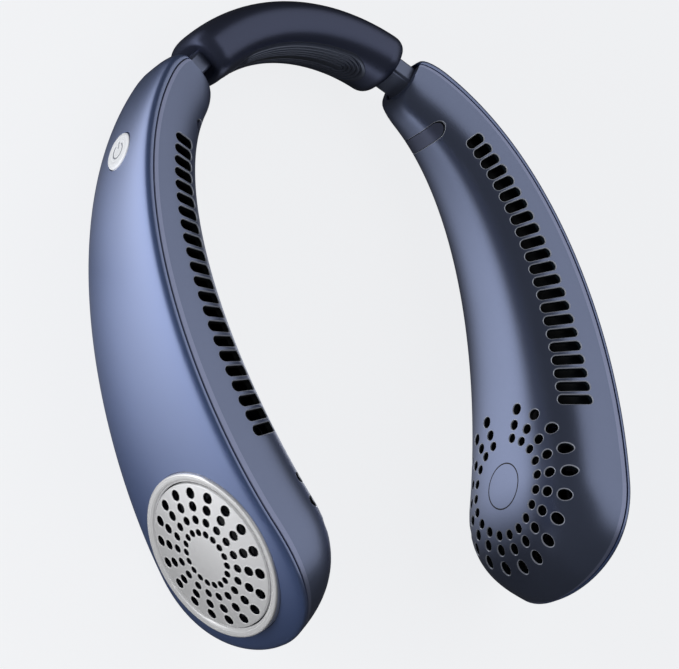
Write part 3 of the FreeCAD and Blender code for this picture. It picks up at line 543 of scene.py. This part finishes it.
def finish_of(name, colour, rough, metal=0.0, grain=1500.0, bump=0.00002, drift=0.06, coat=0.0, rings=0.0,
              coat_index=1.5):
    """Satin, rubber or metal finish: broad colour drift, fine mould grain in roughness and relief.

    rings above 0 adds turning marks: noise on the distance from the UV map's origin.
    """
    material, shader = new_material(name)
    tree = material.node_tree
    pen = Line(tree)
    where = pen.node("ShaderNodeTexCoord", output="Object")
    broad = noise(pen, where, DRIFT_SCALE)
    fine = noise(pen, where, grain, GRAIN_DETAIL)
    if rings:
        flat = pen.node("ShaderNodeTexCoord", output="UV")
        radius = pen.node("ShaderNodeVectorMath", {"operation": "LENGTH"}, {0: flat}, "Value")
        line = pen.node("ShaderNodeCombineXYZ", {}, {0: radius * rings})
        fine = fine * (1 - RING_SHARE) + RING_SHARE * noise(pen, line, 1.0)
    shades = {0: broad, 6: scaled(colour, 1 - drift), 7: scaled(colour, 1 + drift)}
    mix = pen.node("ShaderNodeMix", {"data_type": "RGBA"}, shades, 2)
    tree.links.new(mix.socket, shader.inputs["Base Color"])
    roughness = rough + (fine - 0.5) * GRAIN_ROUGHNESS + (broad - 0.5) * DRIFT_ROUGHNESS
    tree.links.new(roughness.socket, shader.inputs["Roughness"])
    relief = pen.node("ShaderNodeBump", {}, {"Strength": RELIEF_STRENGTH, "Distance": bump, "Height": fine})
    tree.links.new(relief.socket, shader.inputs["Normal"])
    shader.inputs["Metallic"].default_value = metal
    shader.inputs["Coat Weight"].default_value = coat
    shader.inputs["Coat Roughness"].default_value = COAT_ROUGHNESS
    shader.inputs["Coat IOR"].default_value = coat_index
    return material


# Finishes: name, colour, roughness and metal share
BLUE = finish_of("blue_pearl_case", srgb(96, 119, 174), 0.34, 0.7, coat=1.0, coat_index=2.2)
NAVY = finish_of("navy_pearl_case", srgb(134, 144, 174), 0.36, 0.9)
# Lighter edge colour of the slots, intake holes and pocket: a painted highlight
NAVY_EDGE_HIGHLIGHT = finish_of("navy_case_edge", srgb(206, 212, 226), 0.3, 0.5)
# Lighter strip on the housing's lip: a painted highlight
LIP_HIGHLIGHT = finish_of("lip_strip", srgb(158, 166, 198), 0.36, 0.8)
# Near black: painted shade in the shut line, the grille's hole walls and the gap round the plate, and the
# real colour of the ring mark
SHADE_AND_MARK = finish_of("shut_line", srgb(12, 14, 22), 0.6)
# Near black: painted shade on the walls of the slots and intake holes, the pocket floor and the liner
# behind the slots
HOLLOW_SHADE = finish_of("duct_shade", srgb(16, 22, 27), 0.6)
SOFT = finish_of("band_soft_touch", srgb(84, 90, 114), 0.38, 0.8, grain=2200.0)
PAD = finish_of("pad_rubber", srgb(92, 98, 114), 0.3, 0.75, grain=2600.0, bump=0.00003)
TAB_RUBBER = finish_of("flap_rubber", srgb(104, 110, 134), 0.44, 0.75, grain=2600.0)
TONGUE = finish_of("hinge_plastic", srgb(120, 128, 152), 0.36, 0.8)
BRIGHT = finish_of("bezel_polish", (0.97, 0.97, 0.98, 1), 0.16, 0.6, bump=0.000004, drift=0.02,
                   rings=9000.0)
SILVER = finish_of("grille_silver", (0.92, 0.92, 0.93, 1), 0.30, 0.62, bump=0.000006, drift=0.03,
                   rings=6000.0)
# Slightly lighter copy of the grille silver on the hole rims: a painted highlight
SILVER_EDGE_HIGHLIGHT = finish_of("grille_edge", (0.95, 0.95, 0.96, 1), 0.2, 0.45, bump=0.000004, drift=0.02)
WHITE = finish_of("button_white", srgb(236, 238, 242), 0.22, drift=0.01, coat=0.4)
SIGN = finish_of("button_sign", srgb(120, 124, 134), 0.4)
FAN_BLACK = finish_of("fan_plastic", srgb(30, 31, 36), 0.45)
BLACK = finish_of("inner_plastic", srgb(24, 25, 29), 0.5)
STEEL = finish_of("plain_steel", (0.50, 0.50, 0.52, 1), 0.32, 1.0, bump=0.00001)
COPPER = finish_of("coil_copper", (0.55, 0.24, 0.10, 1), 0.4, 0.9, bump=0.00004, grain=900.0)
BRASS = finish_of("bearing_brass", (0.62, 0.43, 0.17, 1), 0.3, 1.0)
CELL = finish_of("cell_sleeve", srgb(40, 128, 104), 0.3, coat=0.3)
BOARD = finish_of("board_lacquer", srgb(22, 92, 52), 0.35, coat=0.3)


def rim(piece, loop, profile, finish):
    """Edge of an opening: a profile of steps inwards and down, carried round its loop on the skin."""
    p = skin_point(loop[:, 0], loop[:, 1])
    n = skin_normal(loop[:, 0], loop[:, 1])
    tangent = unit(np.roll(p, -1, 0) - np.roll(p, 1, 0))
    inwards = unit(np.cross(n, tangent))
    steps = np.asarray(profile, float)
    grid = p[:, None] + inwards[:, None] * steps[None, :, :1] - n[:, None] * steps[None, :, 1:]
    normals = grid_normals(grid, True)
    if not steps[0].any():
        normals[:, 0] = n
    piece.grid(grid, True, finish, normals)


def skin(piece, angles, loops):
    """Case skin between two angles, from the hinge end to the tip, with its openings cut out."""
    flat_loops = [loop * (1, GIRTH) for loop in loops]
    rows = int((angles[1] - angles[0]) * GIRTH / SKIN_STEP_ROUND)
    x = np.linspace(0, STATION_LAST, int(STATION_TIP / SKIN_STEP_ALONG))
    y = np.linspace(angles[0], angles[1], rows) * GIRTH
    corners, faces = cut_sheet(x, y, flat_loops)
    station, a = corners[:, 0], corners[:, 1] / GIRTH
    piece.add(skin_point(station, a), faces, skin_normal(station, a))


def end_face(piece, angles, wall):
    """Hinge end of a shell: its wall's edge and the first millimetres of its inner side."""
    a = np.linspace(angles[0], angles[1], 80)
    steps = ((0, 0), (wall, 0), (wall, END_TURN), (wall, END_DRAWN))
    rows = [arm_point(0 * a, a, inset, 0 * a + shift) for inset, shift in steps]
    piece.grid(np.stack(rows, 0)[::-1])


def edge_strip(piece, rows, finish):
    """Strip along the whole arm: each row is an angle and an inset, lofted in order."""
    station = np.linspace(0, STATION_LAST, 180)
    grid = np.stack([skin_point(station, 0 * station + a, inset) for a, inset in rows], 1)
    piece.grid(grid, False, finish)


# Outlines of the openings, as stations and angles on the skin
intake_turns = 2 * np.pi * np.arange(1, INTAKE_RAYS) / INTAKE_RAYS
intake_loops = [
    circle_loop(POD, -ring * np.cos(turn), ring * np.sin(turn), hole + HOLE_GROWTH, -1, 24)
    for ring, hole in INTAKE_RINGS for turn in intake_turns]
slot_loops = [slot_loop(u, start, HOLE_GROWTH) for u, start in zip(SLOTS, SLOT_STARTS)]
pocket = tab_loop(POCKET_GAP)
grille_seat = circle_loop(POD, 0, 0, BEZEL_RADIUS + BEZEL_GAP, 1, 120)
button_seat = circle_loop(BUTTON, 0, 0, BUTTON_RADIUS + BUTTON_GAP, 1, 60)


def socket_loop():
    """Opening over the charging socket, in the floor of the tab's pocket."""
    t = np.linspace(0, 2 * np.pi, 40, endpoint=False)
    s = SOCKET_RADIUS * np.cos(t)
    z = SOCKET_HALF * np.sign(np.sin(t)) + SOCKET_RADIUS * np.sin(t)
    return counterclockwise(on_arm(TAB, s, z, -1))


def patch(loop, steps, holes, margin):
    """Skin inside an outline, less its holes: points, faces and normals."""
    flat = loop * (1, GIRTH)
    low, high = flat.min(0), flat.max(0)
    x, y = (np.arange(low[i], high[i], steps[i]) for i in (0, 1))
    corners, faces = cut_sheet(x, y, [hole * (1, GIRTH) for hole in holes], flat, margin)
    station, a = corners[:, 0], corners[:, 1] / GIRTH
    return skin_point(station, a), faces, skin_normal(station, a)


def make_housing(side, mirrored):
    """Inner shell: skin with slots, intake holes and the tab's pocket, and the lip beside the cover."""
    piece = Piece()
    skin(piece, (-LIP_START, LIP_START), intake_loops + slot_loops + [pocket])
    # Hole edges take the lighter edge colour, a painted highlight, and hole walls the dark colour, painted
    # shade
    for loop in intake_loops + slot_loops:
        rim(piece, loop, HOLE_EDGE, 1)
        rim(piece, loop, HOLE_WALL, 2)
    # The pocket's edge is coloured lighter as a painted highlight
    rim(piece, pocket, POCKET_EDGE, 1)
    holes = [] if mirrored else [socket_loop()]
    # The pocket's floor is dark painted shade
    point, faces, normal = patch(pocket, POCKET_STEPS, holes, POCKET_MARGIN)
    piece.add(point - normal * POCKET_DEPTH, faces, normal, 2)
    end_face(piece, (-LIP_END, LIP_END), HOUSING_END_WALL)
    # Dark liner behind the slots: a sheet of painted shade
    first, last = (station_at(share) for share in LINER_SHARES)
    liner = np.linspace(first, last, 60)[:, None]
    piece.grid(skin_point(liner, np.radians(np.linspace(*LINER_ANGLES, 16))[None], LINER_DEPTH), False, 2)
    piece.build(side + "_housing_skin", side + "_arm", [NAVY, NAVY_EDGE_HIGHLIGHT, HOLLOW_SHADE], "navy_case",
                [side + "_inner_housing"], mirrored)
    strip = Piece()
    # Lip strip in the lighter colour, a painted highlight, and a dark sheet of painted shade in the shut
    # line
    for sign in (1, -1):
        edge_strip(strip, [(sign * a, inset) for a, inset in LIP_ROWS][::sign], 0)
        edge_strip(strip, [(sign * a, SHUT_DEPTH) for a in SHUT_LINE][::sign], 1)
    strip.build(side + "_housing_lip", side + "_arm", [LIP_HIGHLIGHT, SHADE_AND_MARK], "navy_case", (), mirrored)


def make_cover(side, mirrored, loops):
    """Outer shell: skin with seats for the grille and the button, turned in at the shut line."""
    piece = Piece()
    skin(piece, (COVER_START, COVER_FINISH), loops)
    for loop in loops:
        rim(piece, loop, SEAT_EDGE, 0)
    for sign in (1, -1):
        rows = [(a if sign > 0 else 2 * np.pi - a, inset) for a, inset in COVER_ROWS]
        edge_strip(piece, rows[::sign], 0)
    end_face(piece, (COVER_EDGE, COVER_FAR_EDGE), COVER_END_WALL)
    piece.build(side + "_cover_skin", side + "_arm", [BLUE], "blue_case", [side + "_outer_cover"],
                mirrored)


def turned(piece, share, profile, count, finish=0):
    """Profile of radius and height, turned about the arm's outward axis at a share."""
    base, along, outward = arm_axes(share)
    t = np.linspace(0, 2 * np.pi, count, endpoint=False)[:, None, None]
    steps = np.asarray(profile, float)
    radial = UP * np.cos(t) + along * np.sin(t)
    grid = base + radial * steps[None, :, :1] + outward * steps[None, :, 1:]
    flat = np.concatenate([np.cos(t), np.sin(t)], -1) * steps[None, :, :1] * METRE
    piece.grid(grid, True, finish, uv=flat)


def rounded(points, steps=6):
    """Smooth profile: each inner corner becomes a quadratic curve between the midpoints beside it."""
    p = np.asarray(points, float)
    middle = (p[1:] + p[:-1]) / 2
    t = np.linspace(0, 1, steps)[:, None]
    curves = [(1 - t) ** 2 * start + 2 * t * (1 - t) * corner + t ** 2 * end
              for start, corner, end in zip(middle[:-1], p[1:-1], middle[1:])]
    return np.concatenate([p[:1]] + curves + [p[-1:]])


def make_bezel(side, mirrored):
    """Polished ring round the grille."""
    piece = Piece()
    turned(piece, POD, rounded(BEZEL_PROFILE), 144)
    piece.build(side + "_bezel_ring", side + "_arm", [BRIGHT], "silver_bezel", [side + "_grille_bezel"],
                mirrored)


def make_grille(side, mirrored):
    """Domed plate with rings of holes, a rolled rim and a dark ring of painted shade in the gap round it;
    hole rims are coloured lighter as a painted highlight and hole walls dark as painted shade.
    """
    plate = Piece()
    base, along, outward = arm_axes(POD)
    turns = 2 * np.pi * np.arange(GRILLE_RAYS) / GRILLE_RAYS
    t = np.linspace(0, 2 * np.pi, 28, endpoint=False)
    ring = np.stack([np.cos(t), np.sin(t)], -1)
    holes = [np.array([radius * np.sin(turn), -radius * np.cos(turn)]) + ring * (hole + PLATE_HOLE_GROWTH)
             for radius, hole in GRILLE_RINGS for turn in turns]
    around = np.linspace(0, 2 * np.pi, 140, endpoint=False)
    edge = np.stack([np.cos(around), np.sin(around)], -1) * PLATE_EDGE
    line = np.linspace(-PLATE_RADIUS, PLATE_RADIUS, 40)
    corners, faces = cut_sheet(line, line, holes, edge)
    dome = PLATE_TOP - PLATE_RIM
    ball = (PLATE_RADIUS ** 2 + dome ** 2) / (2 * dome)

    def level(radius):
        return PLATE_TOP - ball + np.sqrt(ball ** 2 - radius ** 2)

    def on_plate(xy, drop=0.0):
        """Point of the domed plate: a ball's height at its distance from the middle, less a drop."""
        height = level(np.linalg.norm(xy, axis=-1, keepdims=True)) - drop
        return base + UP * xy[..., :1] + along * xy[..., 1:] + outward * height

    normal = unit(on_plate(corners) - (base + outward * (PLATE_TOP - ball)))
    plate.add(on_plate(corners), faces, normal, 0, corners * METRE)
    for loop in holes:
        # Hole rims in the lighter silver, a painted highlight, and hole walls in the dark colour, painted
        # shade
        for profile, finish in ((PLATE_HOLE_EDGE, 1), (PLATE_HOLE_WALL, 2)):
            steps = np.array(profile)
            xy = loop[:, None] - ring[:, None] * steps[None, :, :1]
            plate.grid(on_plate(xy, steps[None, :, 1:]), True, finish, uv=xy * METRE)
    shoulder = tuple((radius, level(radius)) for radius in (PLATE_EDGE, PLATE_SHOULDER))
    turned(plate, POD, rounded(shoulder + PLATE_SIDE)[::-1], 140)
    # Dark ring in the gap round the plate: painted shade
    turned(plate, POD, PLATE_SHADOW, 120, 2)
    plate.build(side + "_grille_face", side + "_arm", [SILVER, SILVER_EDGE_HIGHLIGHT, SHADE_AND_MARK], "silver_grille",
                [side + "_grille_plate"], mirrored)


def make_mark(side, mirrored):
    """Thin dark ring on the inner face of the pod."""
    piece = Piece()
    t = np.linspace(0, 2 * np.pi, 96, endpoint=False)
    rows = []
    for radius, lift in MARK_ROWS:
        station, a = on_arm(POD, radius * np.cos(t), radius * np.sin(t), -1).T
        rows.append(skin_point(station, a) + skin_normal(station, a) * lift)
    piece.grid(np.stack(rows, 1)[::-1], True)
    piece.build(side + "_ring_mark", side + "_arm", [SHADE_AND_MARK], "navy_case", (), mirrored)


def make_tab(name, body, node, mirrored):
    """Soft tab: the skin inside its outline, its side walls and an inner face."""
    piece = Piece()
    loop = tab_loop(0.0)
    point, faces, normal = patch(loop, TAB_STEPS, [], TAB_MARGIN)
    piece.add(point, faces, normal)
    piece.add(point - normal * TAB_THICKNESS, faces[:, ::-1], -normal)
    rim(piece, loop[::-1], ((0, TAB_THICKNESS), (0, TAB_EDGE), (0, 0)), 0)
    piece.build(name, body, [TAB_RUBBER], "flap_rubber", [node], mirrored)


def make_button():
    """Domed push button with a plain power sign: an open ring and a bar."""
    piece = Piece()
    dome = [(BUTTON_RADIUS, BUTTON_FOOT)] + [(radius, BUTTON_CREST - drop) for radius, drop in BUTTON_DROPS]
    turned(piece, BUTTON, rounded(dome, 4), 72)
    base, along, outward = arm_axes(BUTTON)

    def on_top(radius, turn):
        """Point just over the button's shallow dish, at a radius and a turn from the hinge's side."""
        dish = BUTTON_DISH * np.clip(radius / BUTTON_BROW, 0, 1) ** 2
        level = BUTTON_CREST - BUTTON_DISH + dish + SIGN_LIFT
        radial = along * -np.cos(turn)[..., None] + UP * np.sin(turn)[..., None]
        return base + radial * radius[..., None] + outward * level[..., None]

    turn, radius = np.meshgrid(SIGN_TURN, np.array(SIGN_RING), indexing="ij")
    piece.grid(on_top(radius, turn)[::-1], False, 1)
    y, x = np.meshgrid(np.linspace(*SIGN_BAR, 12), np.array([-SIGN_BAR_HALF, SIGN_BAR_HALF]), indexing="ij")
    piece.grid(on_top(np.hypot(x, y), np.arctan2(x, y))[:, ::-1], False, 1)
    piece.build("power_button_cap", "power_button", [WHITE, SIGN], "white_button", ["power_button"], True)


def band_point(phi, b, scale=1.0):
    """Band: a superellipse section at angle b, carried round the band's centre at angle phi."""
    phi, b = np.broadcast_arrays(phi, b)
    c, s = np.cos(b), np.sin(b)
    reach = (np.abs(c) ** BAND_POWER + np.abs(s) ** BAND_POWER) ** (-1 / BAND_POWER) * scale
    radius = BAND_RADIUS + BAND_OUT * c * reach
    return np.stack([radius * np.sin(phi), BAND_Y + radius * np.cos(phi), BAND_DEPTH * s * reach], -1)


def stadium(half_length, half_depth, drawn, straight=70, round_steps=40):
    """Outline of a slot shape drawn in by distances: straight runs joined by half circles."""
    run = np.linspace(1, -1, straight, endpoint=False)
    turn = np.linspace(np.pi / 2, 3 * np.pi / 2, round_steps, endpoint=False)
    ends = np.ones(round_steps)
    quarter = np.full(straight, np.pi / 2)
    middle = np.concatenate([run, -ends, -run, ends]) * (half_length - half_depth)
    angle = np.concatenate([quarter, turn, -quarter, turn + np.pi])
    radius = half_depth - np.asarray(drawn, float)[None]
    return middle[:, None] + radius * np.cos(angle)[:, None], radius * np.sin(angle)[:, None]


def grooves(drawn):
    """Depth of the row of rounded grooves at distances from the outline."""
    phase = (drawn - GROOVE_FIRST) / GROOVE_PITCH
    near = (phase - np.clip(np.round(phase), 0, GROOVE_COUNT - 1)) * GROOVE_PITCH
    return GROOVE_DEPTH * np.exp(-(np.abs(near) / (GROOVE_WIDTH / 2)) ** 3)


def face_loop(x, z, side):
    """Band angles of the outline points x, z seen from the band's middle, on its inner or outer face."""
    k = z / BAND_DEPTH
    n = side * (1 - np.abs(k) ** BAND_POWER) ** (1 / BAND_POWER)
    phi = np.arcsin(x / (BAND_RADIUS + BAND_OUT * n))
    return np.stack([phi, np.arctan2(k, n) % (2 * np.pi) if side < 0 else np.arctan2(k, n)], -1)


def face_point(x, z, lift, side):
    """Point over the band's inner or outer face at x and z, lifted off it."""
    n = BAND_OUT * (1 - np.abs(z / BAND_DEPTH) ** BAND_POWER) ** (1 / BAND_POWER) + lift
    radius = BAND_RADIUS + side * n
    return np.stack([x, BAND_Y + np.sqrt(radius ** 2 - x ** 2), z], -1)


def grooved_face(side, half_length, half_depth):
    """Stadium patch with concentric grooves, flush with the band at its edge; the pad stands proud."""
    piece = Piece()
    drawn = np.linspace(0, half_depth, 110)
    x, z = stadium(half_length, half_depth, drawn)
    proud = PAD_PROUD if side < 0 else 0.0
    lift = proud * np.clip(drawn / PAD_ROUND, 0, 1) ** 0.5 - grooves(drawn)
    grid = face_point(x, z, lift[None], side)
    piece.grid(grid[::-1] if side > 0 else grid, True)
    return piece


def band_normal(phi, b):
    """Outward unit normal, from central differences along the band and round it."""
    small = 0.001
    along = band_point(phi + small, b) - band_point(phi - small, b)
    around = band_point(phi, b + small) - band_point(phi, b - small)
    return unit(np.cross(around, along))


def make_band():
    """Band with rounded ends, and grooved faces let into its inner and outer sides."""
    piece = Piece()
    pad, grip = (-1, PAD_HALF_LENGTH, PAD_HALF_DEPTH), (1, GRIP_HALF_LENGTH, GRIP_HALF_DEPTH)
    low_start = -np.pi / 2
    loops = []
    for side, half_length, half_depth in (pad, grip):
        x, z = stadium(half_length, half_depth, [0.0], 40, 30)
        phi, b = counterclockwise(face_loop(x[:, 0], z[:, 0], side)).T
        loops.append(np.stack([phi, (b - low_start) % (2 * np.pi) + low_start], -1))
    phi = np.linspace(-CAP_START, CAP_START, 90) * BAND_STRETCH[0]
    b = np.linspace(low_start, low_start + 2 * np.pi, 90) * BAND_STRETCH[1]
    corners, faces = cut_sheet(phi, b, [loop * BAND_STRETCH for loop in loops])
    phi, b = (corners / BAND_STRETCH).T
    piece.add(band_point(phi, b), faces[:, ::-1], band_normal(phi, b))
    b = np.linspace(0, 2 * np.pi, 91)[None]
    turn = np.linspace(0, np.pi / 2, 16)[:, None]
    end = CAP_START + (BAND_END - CAP_START) * np.sin(turn)
    size = END_SIZE + (1 - END_SIZE) * np.cos(turn)
    for sign in (1, -1):
        middle = band_point(sign * BAND_END + 0 * b, b, BAND_CLOSE)
        cap = np.concatenate([band_point(sign * end, b, size), middle])
        piece.grid(cap[::-sign])
    piece.build("band_skin", "band", [SOFT], "band_soft",
                ["neck_band", "left_band_cap", "right_band_cap"])
    grooved_face(*pad).build("grooved_pad", "band", [PAD], "pad_rubber", ["comfort_pad"])
    grooved_face(*grip).build("grooved_grip", "band", [SOFT], "band_soft")


for side, mirrored in (("left", False), ("right", True)):
    make_housing(side, mirrored)
    make_cover(side, mirrored, [grille_seat] + ([button_seat] if mirrored else []))
    make_bezel(side, mirrored)
    make_grille(side, mirrored)
    make_mark(side, mirrored)
make_tab("port_flap", "port_cover", "left_port_cover", False)
make_tab("matching_tab", "right_arm", "right_blank_tab", True)
make_button()
make_band()

# Finishes of the solids that stay
kept = {
    "impeller": FAN_BLACK, "rotor_cup": STEEL, "fan_shaft": STEEL, "motor_stator": COPPER,
    "motor_bearing": BRASS, "motor_spider": BLACK, "motor_screws": STEEL, "volute": BLACK,
    "battery_cell": CELL, "duct_wall": BLACK, "hinge_pin": STEEL, "hinge_tongue": TONGUE,
    "band_spring_strip": STEEL, "band_cable": BLACK, "usb_c_socket": STEEL, "charging_board": BOARD,
    "button_switch": BLACK, "control_board": BOARD,
}
for name, node in frame["nodes"].items():
    plain = name.replace("left_", "").replace("right_", "")
    if plain in kept:
        node.data.materials.clear()
        node.data.materials.append(kept[plain])


# Camera at the photograph's place, in the fan's own plane, with its focal length in picture widths
CAMERA_PLACE = np.array([-447.1, -152.4, 548.5])
CAMERA_RIGHT = np.array([0.7893, -0.2258, 0.5710])
CAMERA_ABOVE = np.array([0.0506, 0.9507, 0.3060])
CAMERA_FORWARD = np.array([0.6119, 0.2126, -0.7618])
CAMERA_FOCAL = 2331.97 / 679
SENSOR_WIDTH = 36


def placed(turn, place):
    """Matrix of a thing that stands at a place, with its axes as the columns of a turn."""
    matrix = np.eye(4)
    matrix[:3, :3] = turn
    matrix[:3, 3] = place
    return Matrix(matrix.tolist())


def set_camera():
    data = bpy.data.cameras.new("camera")
    data.lens = CAMERA_FOCAL * SENSOR_WIDTH
    data.sensor_width = SENSOR_WIDTH
    data.clip_end = 50
    camera = bpy.data.objects.new("camera", data)
    turn = np.stack([unit(CAMERA_RIGHT), unit(CAMERA_ABOVE), -unit(CAMERA_FORWARD)], 1)
    camera.matrix_world = placed(LAY @ turn, laid(CAMERA_PLACE))
    bpy.context.scene.collection.objects.link(camera)
    bpy.context.scene.camera = camera


def area_light(name, place, target, size, power, mirrored=True):
    """Soft rectangular lamp that looks at a target; one that is not mirrored gives no reflection."""
    data = bpy.data.lights.new(name, "AREA")
    data.shape = "RECTANGLE"
    data.size, data.size_y = size
    data.energy = power
    lamp = bpy.data.objects.new(name, data)
    away = unit(np.array(place, float) - np.array(target, float))
    side = unit(np.cross(UP, away))
    lamp.matrix_world = placed(np.stack([side, np.cross(away, side), away], 1), place)
    lamp.visible_glossy = mirrored
    bpy.context.scene.collection.objects.link(lamp)


# Light that the case mirrors from the floor, in metres: a field that starts beside the fan and opens
# outwards, and a pool between the arms
FIELD_EDGE, FIELD_BLUR, FIELD_BEND, FIELD_LEAN = -0.094, 0.006, 0.02, 0.25
FIELD_MIDDLE, FIELD_SLANT, FIELD_HALF, FIELD_SPREAD = 0.055, 0.22, 0.08, 0.4
FIELD_REACH, FIELD_LEVEL = 0.3, 1.65
POOL_MIDDLE, POOL_HALF, POOL_LEVEL = (0.0185, -0.015), (0.0265, 0.045), 1.3
FLOOR_LEVEL = 0.03
LARGEST_POWER = 30.0

# What the camera sees of the floor and the sky
FLOOR_HALF = 3
FLOOR_COLOUR = srgb(238, 240, 243)
FLOOR_ROUGHNESS = 0.7
FLOOR_GLOW = (0.97, 0.98, 1.0, 1)
FLOOR_LIFT = 0.85
SKY_COLOUR = (0.92, 0.95, 1.0, 1)
SKY_LEVEL, SKY_LIFT = 0.06, 0.8


def mirrored_light(pen, x, y):
    """Strength of the floor's light for mirrored rays.

    1 / (1 + e^x) edges the field and e^(-x^4 / 2) the pool.
    """
    edge = FIELD_EDGE + FIELD_LEAN * pen.math("MAXIMUM", y - FIELD_BEND, 0.0)
    inward = pen.math("MINIMUM", (x - edge) * (1 / FIELD_BLUR), LARGEST_POWER)
    outward = pen.math("MAXIMUM", edge - x, 0.0)
    half = FIELD_HALF + FIELD_SPREAD * outward
    along = pen.math("DIVIDE", y - FIELD_MIDDLE - FIELD_SLANT * outward, half)
    away = outward * (1 / FIELD_REACH)
    fade = pen.math("EXPONENT", (along * along + away * away) * -0.5)
    field = pen.math("DIVIDE", fade, 1.0 + pen.math("EXPONENT", inward))
    across, along = ((v - middle) * (1 / half) for v, middle, half in zip((x, y), POOL_MIDDLE, POOL_HALF))
    across, along = across * across, along * along
    pool = pen.math("EXPONENT", (across * across + along * along) * -0.5)
    return FLOOR_LEVEL + FIELD_LEVEL * field + POOL_LEVEL * pool


def floor_finish():
    """Pale floor: the camera sees it lifted towards white, and mirrored rays see the field and the pool."""
    material, shader = new_material("pale_floor")
    shader.inputs["Base Color"].default_value = FLOOR_COLOUR
    shader.inputs["Roughness"].default_value = FLOOR_ROUGHNESS
    tree = material.node_tree
    pen = Line(tree)
    ray = tree.nodes.new("ShaderNodeLightPath")
    camera, glossy = (Line(tree, ray.outputs[name]) for name in ("Is Camera Ray", "Is Glossy Ray"))
    where = pen.node("ShaderNodeTexCoord", output="Object")
    x, y = (pen.node("ShaderNodeSeparateXYZ", {}, {0: where}, axis) for axis in "XY")
    strength = camera + glossy * mirrored_light(pen, x, y)
    glow = pen.node("ShaderNodeEmission", {}, {"Color": FLOOR_GLOW, "Strength": strength})
    sides = {0: camera * FLOOR_LIFT + glossy, 1: Line(tree, shader.outputs[0]), 2: glow}
    mix = pen.node("ShaderNodeMixShader", {}, sides)
    tree.links.new(mix.socket, tree.nodes["Material Output"].inputs["Surface"])
    return material


def set_floor():
    mesh = bpy.data.meshes.new("floor")
    corners = [(FLOOR_HALF * x, FLOOR_HALF * y, 0) for x, y in ((-1, -1), (1, -1), (1, 1), (-1, 1))]
    mesh.from_pydata(corners, [], [(0, 1, 2, 3)])
    mesh.materials.append(floor_finish())
    floor = bpy.data.objects.new("floor", mesh)
    bpy.context.scene.collection.objects.link(floor)


def set_light():
    """Dim sky, a large softbox behind the fan and a card at its left that only fills the shade."""
    world = bpy.data.worlds.new("studio")
    world.use_nodes = True
    sky = world.node_tree.nodes["Background"]
    sky.inputs["Color"].default_value = SKY_COLOUR
    pen = Line(world.node_tree)
    level = SKY_LEVEL + SKY_LIFT * pen.node("ShaderNodeLightPath", output="Is Camera Ray")
    world.node_tree.links.new(level.socket, sky.inputs["Strength"])
    bpy.context.scene.world = world
    area_light("back_softbox", place=(1.2, 0.42, 1.45), target=(0, 0, 0.02), size=(2.6, 2.2), power=12)
    area_light("left_card", place=(-0.62, -0.04, 0.13), target=(0, 0, 0.03), size=(0.5, 0.16), power=3.4,
               mirrored=False)
    bpy.context.scene.view_settings.view_transform = "Standard"


set_camera()
set_floor()
set_light()
